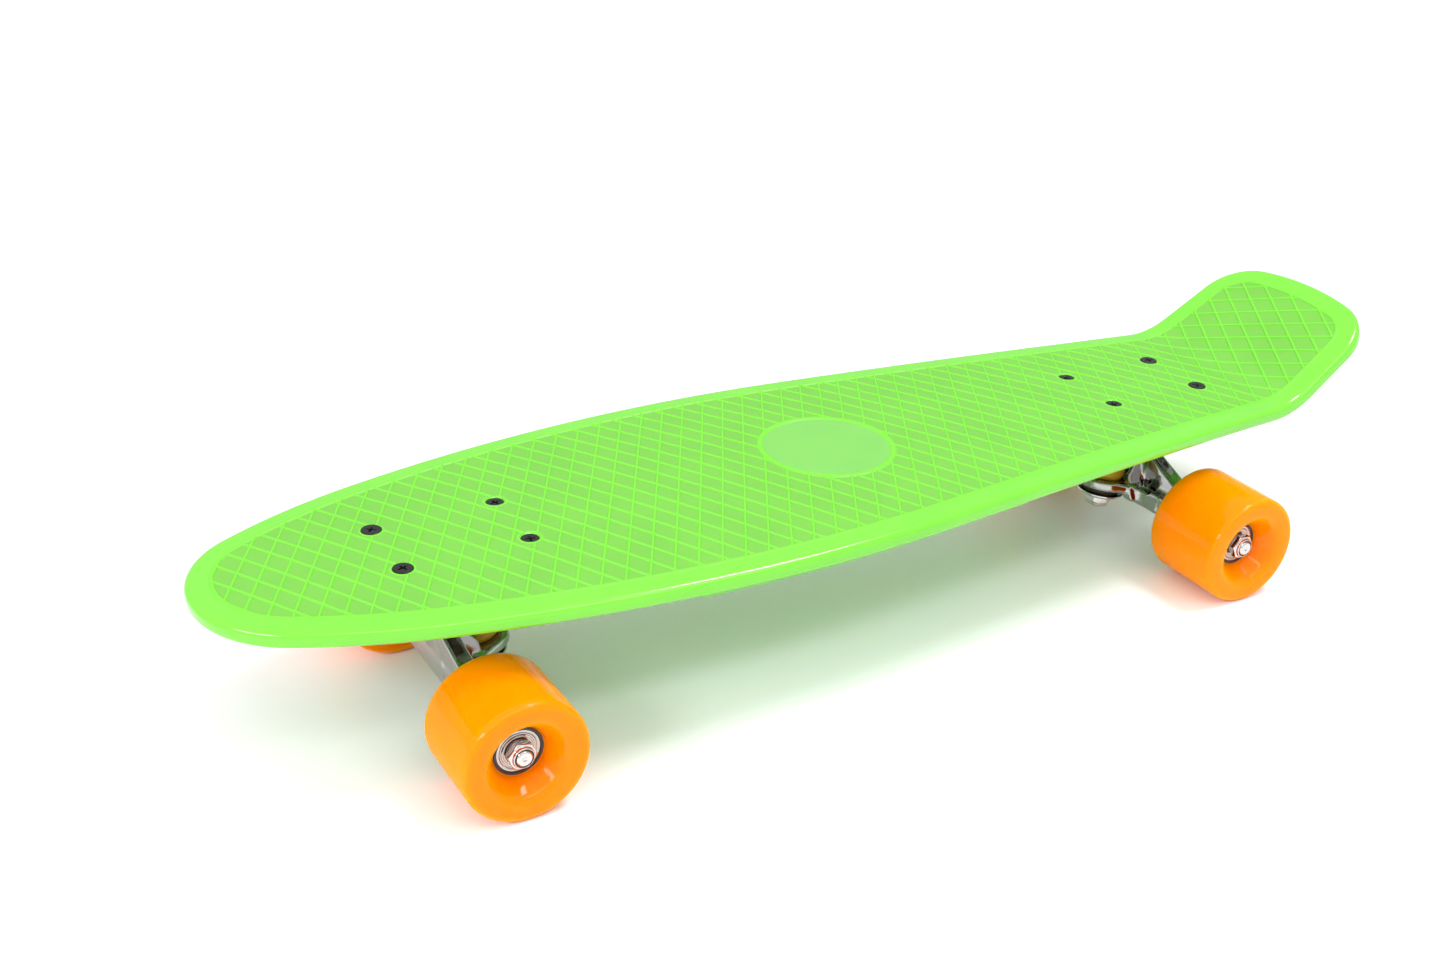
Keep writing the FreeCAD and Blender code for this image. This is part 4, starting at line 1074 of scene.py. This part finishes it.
def beam_field(p, axle_reach):
    """The square beam round the axle, ending in a round tube at each side."""
    side = np.abs(p[:, 1])
    beam_low = (BEAM_LOW, -BEAM_HALF, -AXLE_DROP - BEAM_RISE)
    beam = block_field(p, beam_low, (BEAM_HIGH, BEAM_HALF, -AXLE_DROP + BEAM_RISE), 2.0)
    share = np.clip((side - TUBE_START) / TUBE_BLEND, 0, 1)
    tube = axle_reach - (BEAM_RISE + (BEAM_END - BEAM_RISE) * share**2 * (3 - 2 * share))
    return soft_min(beam, soft_max(tube, side - HANGER_HALF, 1.2), 2.5)


def web_field(p):
    """The upright web, highest in the middle."""
    side, height = np.abs(p[:, 1]), p[:, 2]
    thick = np.abs(p[:, 0] - np.interp(height, *WEB_LEAN)) - np.interp(height, *WEB_THICK)
    web = soft_max(thick, (height - np.interp(side, *WEB_CREST)) * 0.88, 2.4)
    return np.maximum(web, np.maximum(CASTING_FOOT - height, side - 63))


def body_field(p, pin, reach):
    """The middle of the casting, hollowed round the upper cushion."""
    height = p[:, 2]
    along = np.maximum(np.interp(height, *BODY_FRONT) - p[:, 0], p[:, 0] - BODY_BACK)
    body = soft_max(np.abs(p[:, 1]) - np.interp(height, *BODY_WIDTH), along, 1.2)
    body = soft_max(body, np.maximum(height - BODY_TOP, CASTING_FOOT - height), 3)
    room = np.maximum(reach - BUSHING_ROOM - ROOM_FLARE * pin[:, 2], limits(pin, 2, 0, ROOM_TOP))
    return soft_max(body, -room, 1.0)


def clear_of_plate(shape, p):
    """Cut back by the baseplate as it stands at several steering angles, up to the limit each way."""
    for turn in (-1, -0.5, 0.5, 1):
        swing = Matrix.Rotation(math.radians(STEER_LIMIT * turn), 4, STEER)
        swung = Matrix.Translation(PIVOT) @ swing @ Matrix.Translation(-PIVOT)
        shape = soft_max(shape, PLATE_GAP - baseplate_field(into(p, swung)), 0.8)
    return shape


def arm_field(p):
    """The column, neck and ball that reach back to the pivot cup."""
    knuckle = np.array(PIVOT - STEER * NECK_LENGTH)
    column = rod_field(p, COLUMN_FOOT, knuckle, COLUMN_RADIUS)
    neck = rod_field(p, knuckle, PIVOT, NECK_RADIUS)
    return soft_min(soft_min(column, neck, 3), ball_field(p, np.array(PIVOT), BALL_RADIUS), 0.6)


def pocket_field(p):
    """The square pockets in the web's front face, one at each side."""
    low = (AXLE_OFFSET - POCKET_FRONT, POCKET_SIDE - POCKET_HALF, POCKET_HEIGHT - POCKET_HALF)
    high = (AXLE_OFFSET - POCKET_BACK, POCKET_SIDE + POCKET_HALF, POCKET_HEIGHT + POCKET_HALF)
    return block_field(np.stack([p[:, 0], np.abs(p[:, 1]), p[:, 2]], 1), low, high, 1.8)


def hanger_field(p):
    """The casting that carries the axle: bushing ring, flange, beam, web and pivot arm."""
    pin = into(p, PIN)
    reach = from_axis(pin)
    axle_reach = np.linalg.norm(p[:, [0, 2]] - (AXLE_OFFSET, -AXLE_DROP), axis=1)
    tent = clear_of_plate(soft_min(web_field(p), body_field(p, pin, reach), 2.4), p)
    shape = soft_min(beam_field(p, axle_reach), tent, 3.0)
    shape = soft_min(shape, arm_field(p), 4.0)
    shape = soft_min(shape, flange_field(p, pin, reach), 2.2)
    shape = soft_min(shape, disc_field(pin, RING_RADIUS, -RING_HALF, RING_HALF, 1.7), 0.8)

    shape = soft_max(shape, -pocket_field(p), 1.2)
    shape = soft_max(shape, -disc_field(pin, BUSHING_RADIUS + RIM_ROOM, RING_HALF, 13.5, 1), 0.5)
    below = np.maximum(reach - LOWER_WASHER_RADIUS - RIM_ROOM, limits(pin, 2, -24, -RING_HALF))
    shape = soft_max(shape, -below, 0.8)
    bore = np.maximum(reach - RING_BORE, limits(pin, 2, -2 * RING_HALF, 2 * RING_HALF))
    shape = soft_max(shape, -bore, 0.9)
    return soft_max(shape, AXLE_RADIUS + AXLE_SLIP - axle_reach, 0.4)


def baseplate_field(p):
    """The casting that bolts to the deck, with the kingpin's boss and the pivot's boss."""
    pin = into(p, PIN)
    cup = into(p, CUP)
    pin_reach = from_axis(pin)
    cup_reach = from_axis(cup)
    long, wide, thick = PLATE
    corner = np.maximum(np.abs(p[:, :2]) - (long / 2 - PLATE_CORNER, wide / 2 - PLATE_CORNER), 0)
    plan = np.linalg.norm(corner, axis=1) - PLATE_CORNER
    plate = soft_max(plan, -thick - p[:, 2], 1.6)

    boss = (pin_reach - np.interp(pin[:, 2], *BOSS_TAPER)) * 0.98
    boss = soft_max(boss, SEAT - pin[:, 2], 0.8)
    cup_boss = soft_max(cup_reach - CUP_BOSS, -BALL_RADIUS - cup[:, 2], 1.4)
    side = np.abs(p[:, 1])
    rib = soft_max(side - CUP_RADIUS, np.maximum(limits(p, 0, 0, PIVOT.x), -2 * thick - p[:, 2]), 2)
    shape = soft_min(soft_min(plate, rib, 2), soft_min(boss, cup_boss, 2), 2.5)

    seat = np.hypot(np.abs(p[:, 0]) - BOLT_LONG / 2, side - BOLT_WIDE / 2)
    shape = np.maximum(shape, -np.maximum(seat - 6.1, p[:, 2] + thick))
    shape = soft_max(shape, BOLT_HOLE - seat, 0.4)
    shape = soft_max(shape, -(pin_reach - KINGPIN_RADIUS - SLIP), 0.4)
    head = np.maximum(pin_reach - PIN_HEAD_RADIUS - SLIP, PIN_HEAD - PIN_HEAD_HEIGHT - pin[:, 2])
    shape = np.maximum(shape, -head)
    socket = np.maximum(cup_reach - CUP_RADIUS - SLIP, cup[:, 2] - CUP_RADIUS - SLIP)
    shape = soft_max(shape, -socket, 0.5)
    shape = soft_max(shape, np.abs(p[:, 0]) - long / 2, 1.0)
    return np.maximum(shape, p[:, 2])


def kingpin_nut_field(p):
    """The kingpin's lock nut, its round collar downwards."""
    reach = from_axis(p)
    top = -RING_HALF - LOWER_BUSHING - WASHER
    low = top - KINGPIN_NUT_HEIGHT
    hexagon = chamfered_hexagon(p, KINGPIN_NUT_FLATS, low + 2.0, top)
    collar = soft_max(reach - 6.9, np.maximum(low - p[:, 2], p[:, 2] - top + 1), 1.6)
    return np.maximum(soft_min(hexagon, collar, 0.4), KINGPIN_RADIUS + SLIP - reach)


def threaded_end(radius, low, high, pitch=1.5, depth=0.5):
    """The (r, z) corners of a bar's threaded stretch, from low to high."""
    corners = [(radius - depth, low)]
    for number in range(round((high - low) / pitch)):
        corners += [(radius, low + (number + 0.5) * pitch), (radius - depth, low + (number + 1) * pitch)]
    return corners


def kingpin_stack(end, nut):
    """The kingpin and everything threaded on it, heights measured from the ring's middle."""
    place = truck_place(end) @ PIN
    nut_top = -RING_HALF - LOWER_BUSHING - WASHER
    tip = nut_top - KINGPIN_NUT_HEIGHT - 1
    under_head = PIN_HEAD - PIN_HEAD_HEIGHT
    pin = turned([
        (0, tip), (KINGPIN_RADIUS - 1, tip), *threaded_end(KINGPIN_RADIUS - 0.05, tip + 0.6, tip + 12.6),
        (KINGPIN_RADIUS, tip + 13), (KINGPIN_RADIUS, under_head), (PIN_HEAD_RADIUS, under_head),
        (PIN_HEAD_RADIUS, PIN_HEAD, 0.8), (0, PIN_HEAD),
    ], 64)
    low = SEAT - WASHER
    upper = turned([
        (KINGPIN_RADIUS, low, 0.3), (10.6, low, 1.2), (BUSHING_RADIUS, low - WASHER_RIM, 0.2),
        (UPPER_WASHER_RADIUS, low - WASHER_RIM, 0.4), (UPPER_WASHER_RADIUS, low + 0.3, 0.8),
        (11.6, SEAT, 0.6), (KINGPIN_RADIUS, SEAT, 0.3),
    ])
    high = -RING_HALF - LOWER_BUSHING
    lower = turned([
        (KINGPIN_RADIUS, high - WASHER, 0.3), (LOWER_WASHER_RADIUS - 2.2, high - WASHER, 1.6),
        (LOWER_WASHER_RADIUS, high - 0.2, 0.9), (LOWER_WASHER_RADIUS, high + WASHER_RIM, 0.4),
        (LOWER_WASHER_RADIUS - 1.0, high + WASHER_RIM, 0.3), (LOWER_BUSHING_RADIUS + 0.6, high, 0.9),
        (KINGPIN_RADIUS, high, 0.3),
    ])
    for label, shape, finish, stands_for in (
        ("_pin", pin, ZINC, "_kingpin"),
        ("_pin_nut", nut, CHROME, "_kingpin_nut"),
        ("_top_cup", upper, ZINC, "_upper_washer"),
        ("_low_cup", lower, CHROME, "_lower_washer"),
    ):
        mesh_object(end + label, *placed(shape, place), (finish,), "board", "zinc_steel", (end + stands_for,))
    bushings(end, place, low, high)


LONG_SIDE = 3  # millimetres


def stacked(corners, layers):
    """Extra points along a profile's long upright sides."""
    result = []
    for here, ahead in zip(corners, corners[1:] + corners[:1]):
        result.append(here)
        run, rise = ahead[0] - here[0], ahead[1] - here[1]
        if abs(rise) > LONG_SIDE:
            shares = np.arange(1, layers) / layers
            result += [(here[0] + run * share, here[1] + rise * share) for share in shares]
    return result


def bushings(end, place, top, bottom):
    """The two soft cushions."""
    upper = turned(stacked([
        (KINGPIN_RADIUS + 0.1, RING_HALF), (BUSHING_RADIUS - 1.4, RING_HALF, 0.8),
        (BUSHING_RADIUS - 0.2, RING_HALF + 2.4, 1.6), (BUSHING_RADIUS, 9, 3),
        (BUSHING_RADIUS, top - 2.2, 0.8), (BUSHING_RADIUS - 0.9, top - 0.9, 0.5),
        (BUSHING_RADIUS - 1.6, top, 0.4), (KINGPIN_RADIUS + 0.1, top),
    ], 6), 80)
    lower = turned(stacked([
        (KINGPIN_RADIUS + 0.1, bottom), (LOWER_BUSHING_RADIUS - 1.2, bottom, 0.8),
        (LOWER_BUSHING_RADIUS - 0.2, bottom + 1.6, 1), (LOWER_BUSHING_RADIUS, -RING_HALF - 1.2, 0.8),
        (LOWER_BUSHING_RADIUS - 0.8, -RING_HALF, 0.6), (KINGPIN_RADIUS + 0.1, -RING_HALF),
    ], 5), 80)
    for label, shape, finish, slot, stands_for, fixed, moving in (
        ("_upper_cushion", upper, AMBER, "amber_bushing", "_upper_bushing", top, RING_HALF),
        ("_lower_cushion", lower, DARK_RUBBER, "dark_bushing", "_lower_bushing", bottom, -RING_HALF),
    ):
        points, faces = placed(shape, place)
        item = plain_object(end + label, points, faces, (finish,))
        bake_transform(item)
        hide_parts(end + stands_for)


def trucks():
    """Both trucks, all but the axles."""
    hanger = field_shape(hanger_field, (-28.5, -68, -62), (33, 68, -8), 0.75)
    plate = field_shape(baseplate_field, (-40.2, -28.2, -31.8), (40.2, 28.2, 0.2), 0.7)
    pin_nut = field_shape(kingpin_nut_field, (-8.4, -8.4, -16.1), (8.4, 8.4, -8.7), 0.35)
    hollow = BALL_RADIUS + 0.06
    liner = turned([
        (hollow, -BALL_RADIUS), (CUP_RADIUS, -BALL_RADIUS, 0.4), (CUP_RADIUS, CUP_RADIUS), (0, CUP_RADIUS),
        (0, hollow), *quarter(hollow),
    ], 64)
    for end in ENDS:
        place = truck_place(end)
        for label, shape, at, finish, body, slot, stands_for, sharp in (
            ("_casting", hanger, place, CAST, end + "_hanger_body", "cast_truck", "_hanger", 50),
            ("_plate", plate, place, CAST, "board", "cast_truck", "_baseplate", 50),
            ("_cup_liner", liner, place @ CUP, BLACK_PLASTIC, "board", "pivot_plastic", "_pivot_cup", 40),
        ):
            mesh_object(end + label, *placed(shape, at), (finish,), body, slot, (end + stands_for,), sharp)
        kingpin_stack(end, pin_nut)


def quarter(radius):
    """A socket's (r, z) curve from its pole out to its rim."""
    angles = np.radians(np.arange(10, 91, 10))
    return [(radius * math.sin(a), radius * math.cos(a)) for a in angles]


trucks()


# Axles and wheels, drawn along Z from the board's middle plane

WASHER_THICK = 1.0
BEARING_IN = HANGER_HALF + WASHER_THICK
BEARING_WIDTH, BEARING_GAP = 7.0, 10.0
BEARING_OUT = BEARING_IN + 2 * BEARING_WIDTH + BEARING_GAP
NUT_LOW = BEARING_OUT + WASHER_THICK
NUT_FLATS, NUT_HEIGHT, NUT_COLLAR, NUT_COLLAR_RADIUS = 12.7, 4.2, 1.6, 5.4
WHEEL_RADIUS, WHEEL_IN, WHEEL_OUT, WHEEL_CORNER = 31.2, 54.8, 104.3, 4.5
RECESS_MOUTH, RECESS_BLEND, CORE_RADIUS, CORE_SHOULDER, CORE_LIP = 20.0, 8.0, 12.3, 9.7, 0.4
BEARING_RADIUS, RACE_BORE, RACE_OUT, PITCH, GROOVE = 11.0, 9.2, 6.1, 7.5, 2.04


def axle_place(end, hand):
    """The axle's axes on one side, +Z out to the wheel."""
    middle = Vector((DECK_X + ENDS[end] * (TRUCK_SPACING / 2 + AXLE_OFFSET), 0, MOUNT_Z - AXLE_DROP))
    return Matrix.Translation(middle) @ spin(-90 * HANDS[hand], "X")


def axle_nut_field(p):
    """The axle's lock nut, its round collar outwards with a mouth for the insert."""
    reach = from_axis(p)
    top = NUT_LOW + NUT_HEIGHT
    hexagon = chamfered_hexagon(p, NUT_FLATS, NUT_LOW, top)
    end = top + NUT_COLLAR
    collar = soft_max(reach - NUT_COLLAR_RADIUS, np.maximum(p[:, 2] - end, top - 1 - p[:, 2]), 1.0)
    shape = soft_min(hexagon, collar, 0.5)
    mouth = np.maximum(reach - 4.75, end - 0.9 - p[:, 2])
    shape = soft_max(shape, -mouth, 0.25)
    return np.maximum(shape, AXLE_RADIUS + SLIP - reach)


def race_arc(start, end, centre):
    """The (r, z) curve of a ball track, between two angles about the ball's centre."""
    angles = np.radians(np.linspace(start, end, 10))
    return [(centre[0] + GROOVE * math.cos(a), centre[1] + GROOVE * math.sin(a)) for a in angles]


def inner_race(low):
    middle, high = low + BEARING_WIDTH / 2, low + BEARING_WIDTH
    edge = math.degrees(math.acos((PITCH - RACE_OUT) / GROOVE))
    track = race_arc(180 + edge, 180 - edge, (PITCH, middle))
    return turned([
        (AXLE_RADIUS, low + 0.35), (AXLE_RADIUS + 0.35, low), (RACE_OUT, low, 0.25), *track,
        (RACE_OUT, high, 0.25), (AXLE_RADIUS + 0.35, high), (AXLE_RADIUS, high - 0.35),
    ], 64)


def outer_race(low):
    middle, high = low + BEARING_WIDTH / 2, low + BEARING_WIDTH
    edge = math.degrees(math.acos((RACE_BORE - PITCH) / GROOVE))
    track = race_arc(edge, -edge, (PITCH, middle))
    return turned([
        (BEARING_RADIUS, low, 0.4), (BEARING_RADIUS, high, 0.5), (RACE_BORE + 0.5, high, 0.1),
        (RACE_BORE, high - 0.3), *track, (RACE_BORE, low + 0.3), (RACE_BORE + 0.5, low, 0.1),
    ])


def bearing_shield(face, out):
    """A pressed dust shield: a stepped ring with its snap wire, out being the side that shows."""
    corners = [
        (6.35, -0.5), (6.35, -0.12, 0.12), (7.3, -0.12, 0.2), (7.6, -0.36, 0.2), (8.25, -0.36, 0.1),
        (8.35, -0.2, 0.1), (8.75, -0.08, 0.15), (9.1, -0.16, 0.1), (RACE_BORE, -0.3), (RACE_BORE, -0.55),
        (8.2, -0.6), (7.5, -0.6),
    ]
    profile = [(corner[0], face + out * corner[1], *corner[2:]) for corner in corners]
    return turned(profile if out < 0 else profile[::-1])


def tyre():
    return turned([
        (CORE_RADIUS, BEARING_IN), (CORE_RADIUS + 0.7, BEARING_IN - 0.2, 0.5),
        (RECESS_MOUTH, WHEEL_IN, RECESS_BLEND), (WHEEL_RADIUS, WHEEL_IN, WHEEL_CORNER),
        (WHEEL_RADIUS, (WHEEL_IN + WHEEL_OUT) / 2), (WHEEL_RADIUS, WHEEL_OUT, WHEEL_CORNER),
        (RECESS_MOUTH, WHEEL_OUT, RECESS_BLEND), (CORE_RADIUS + 0.7, BEARING_OUT + 0.2, 0.5),
        (CORE_RADIUS, BEARING_OUT),
    ], 160, 10)


def core():
    inner_seat, outer_seat = BEARING_IN + BEARING_WIDTH, BEARING_OUT - BEARING_WIDTH
    return turned([
        (CORE_RADIUS, BEARING_IN, 0.3), (CORE_RADIUS, BEARING_OUT + CORE_LIP, 0.3),
        (BEARING_RADIUS + 0.02, BEARING_OUT + CORE_LIP, 0.25), (BEARING_RADIUS + 0.02, outer_seat),
        (CORE_SHOULDER, outer_seat), (CORE_SHOULDER, inner_seat), (BEARING_RADIUS + 0.02, inner_seat),
        (BEARING_RADIUS + 0.02, BEARING_IN, 0.25),
    ])


def washer(low):
    high, bore = low + WASHER_THICK, AXLE_RADIUS + SLIP
    return turned([(bore, low), (5.5, low, 0.3), (5.5, high, 0.3), (bore, high)], 64)


def axle():
    corners = [(0, -AXLE_HALF + 1.0), (1.3, -AXLE_HALF, 0.1), (AXLE_RADIUS - 0.7, -AXLE_HALF, 0.2),
               (AXLE_RADIUS, -AXLE_HALF + 0.6, 0.2)]
    thread = threaded_end(AXLE_RADIUS, -AXLE_HALF + 0.9, -AXLE_HALF + 6.9, 1.0, 0.35)
    half = corners + thread + [(AXLE_RADIUS, -BEARING_OUT)]
    mirrored = [(corner[0], -corner[1], *corner[2:]) for corner in half][::-1]
    return turned(half + mirrored, 64)


def running_gear():
    """Both axles with their nuts, washers and inner races, and the four wheels."""
    nut = field_shape(axle_nut_field, (-7.4, -7.4, NUT_LOW - 0.3), (7.4, 7.4, NUT_LOW + 6.2), 0.3)
    foot, top, bore = NUT_LOW + 4.92, NUT_LOW + 5.4, AXLE_RADIUS + SLIP
    insert = turned([(bore, foot), (4.72, foot), (4.72, top, 0.2), (bore, top)], 64)
    lows = (BEARING_IN, BEARING_OUT - BEARING_WIDTH)
    inner = joined([inner_race(low) for low in lows])
    outer = joined([outer_race(low) for low in lows])
    covers = joined([
        bearing_shield(face, out)
        for low in lows
        for face, out in ((low, -1), (low + BEARING_WIDTH, 1))
    ])
    washers = joined([washer(HANGER_HALF), washer(BEARING_OUT)])
    for end in ENDS:
        body = end + "_hanger_body"
        bar = placed(axle(), axle_place(end, "left"))
        mesh_object(end + "_axle_bar", *bar, (CHROME,), body, "zinc_steel", (end + "_axle",))
        sides = [axle_place(end, hand) for hand in HANDS]
        for label, shape, finish, slot, stands_for in (
            ("_lock_nuts", nut, CHROME, "chrome_nut", ("_axle_nuts",)),
            ("_nut_inserts", insert, BLACK_PLASTIC, "pivot_plastic", ()),
            ("_shims", washers, ZINC, "zinc_steel", ("_speed_washers",)),
            ("_inner_rings", inner, RACE_STEEL, "bearing_steel", ("_inner_races",)),
        ):
            turned_sides = [side @ spin(23 * (number + 1), "Z") for number, side in enumerate(sides)]
            pair = joined([placed(shape, side) for side in turned_sides])
            mesh_object(end + label, *pair, (finish,), body, slot, [end + name for name in stands_for])
        for hand, side in zip(HANDS, sides):
            name = "%s_%s" % (end, hand)
            wheel = name + "_wheel"
            for label, shape, finish, slot, stands_for in (
                ("_wheel_tyre", tyre(), URETHANE, "wheel_urethane", "_tyre"),
                ("_hub", core(), BLACK_PLASTIC, "core_plastic", "_core"),
                ("_outer_rings", outer, RACE_STEEL, "bearing_steel", "_outer_races"),
                ("_shields", covers, SHIELD, "shield_chrome", "_bearing_shields"),
            ):
                piece = placed(shape, side)
                mesh_object(name + label, *piece, (finish,), wheel, slot, (name + stands_for,), 35)


running_gear()


# Stage


FLOOR_HALF = 3.0  # metres
BRIGHT_SIDE = (0.45, 0.3, 0.85)
CAMERA_AT = Vector((DECK_X + 486.46, 701.89, DECK_Z + 404.88)) * MM
CAMERA_TURN = (63.386, -2.102, 149.964)  # degrees about X, Y and Z


def pale_floor():
    mesh = bpy.data.meshes.new("floor")
    corners = [(x * FLOOR_HALF, y * FLOOR_HALF, 0) for x, y in ((-1, -1), (1, -1), (1, 1), (-1, 1))]
    mesh.from_pydata(corners, [], [(0, 1, 2, 3)])
    mesh.materials.append(material("floor_white", (0.93, 0.93, 0.94), 0.35))
    item = bpy.data.objects.new("floor", mesh)
    bpy.context.scene.collection.objects.link(item)


def softbox(name, at, aim, width, height, power):
    lamp = bpy.data.lights.new(name, "AREA")
    lamp.shape = "RECTANGLE"
    lamp.size, lamp.size_y = width, height
    lamp.energy = power
    item = bpy.data.objects.new(name, lamp)
    item.location = at
    item.rotation_euler = (Vector(aim) - Vector(at)).to_track_quat("-Z", "Y").to_euler()
    bpy.context.scene.collection.objects.link(item)


def studio():
    """A white tent, brightest overhead and on the nose's side, with three softboxes."""
    world = bpy.data.worlds.new("studio")
    world.use_nodes = True
    bpy.context.scene.world = world
    facing = node(world, "ShaderNodeVectorMath", operation="DOT_PRODUCT")
    facing.inputs[1].default_value = Vector(BRIGHT_SIDE).normalized()
    wire(world, node(world, "ShaderNodeTexCoord").outputs["Generated"], facing.inputs[0])
    level = node(world, "ShaderNodeMapRange", interpolation_type="SMOOTHSTEP",
                 From_Min=-0.35, From_Max=0.9, To_Min=0.6, To_Max=1.12)
    wire(world, facing.outputs["Value"], level.inputs["Value"])
    sky = world.node_tree.nodes["Background"]
    wire(world, level.outputs["Result"], sky.inputs["Strength"])
    sky.inputs["Color"].default_value = (1, 0.99, 1, 1)
    softbox("overhead", (-1.05, 0.4, 2.6), (0.1, 0.05, 0.05), 0.9, 0.7, 42)
    softbox("nose_side", (1.8, 0.6, 1.1), (0.0, 0.0, 0.1), 1.2, 0.4, 20)
    softbox("strip", (0.1, 1.3, 1.7), (0.0, 0.0, 0.08), 2.0, 0.3, 11)


def photo_camera():
    """The camera at the photograph's angle: where it stands and the way that it faces."""
    data = bpy.data.cameras.new("camera")
    data.sensor_width = 36.0
    data.lens = 44.485
    item = bpy.data.objects.new("camera", data)
    turn = Euler([math.radians(angle) for angle in CAMERA_TURN])
    item.matrix_world = Matrix.LocRotScale(CAMERA_AT, turn, None)
    bpy.context.scene.collection.objects.link(item)
    bpy.context.scene.camera = item


pale_floor()
studio()
photo_camera()
bpy.context.scene.view_settings.view_transform = "Standard"
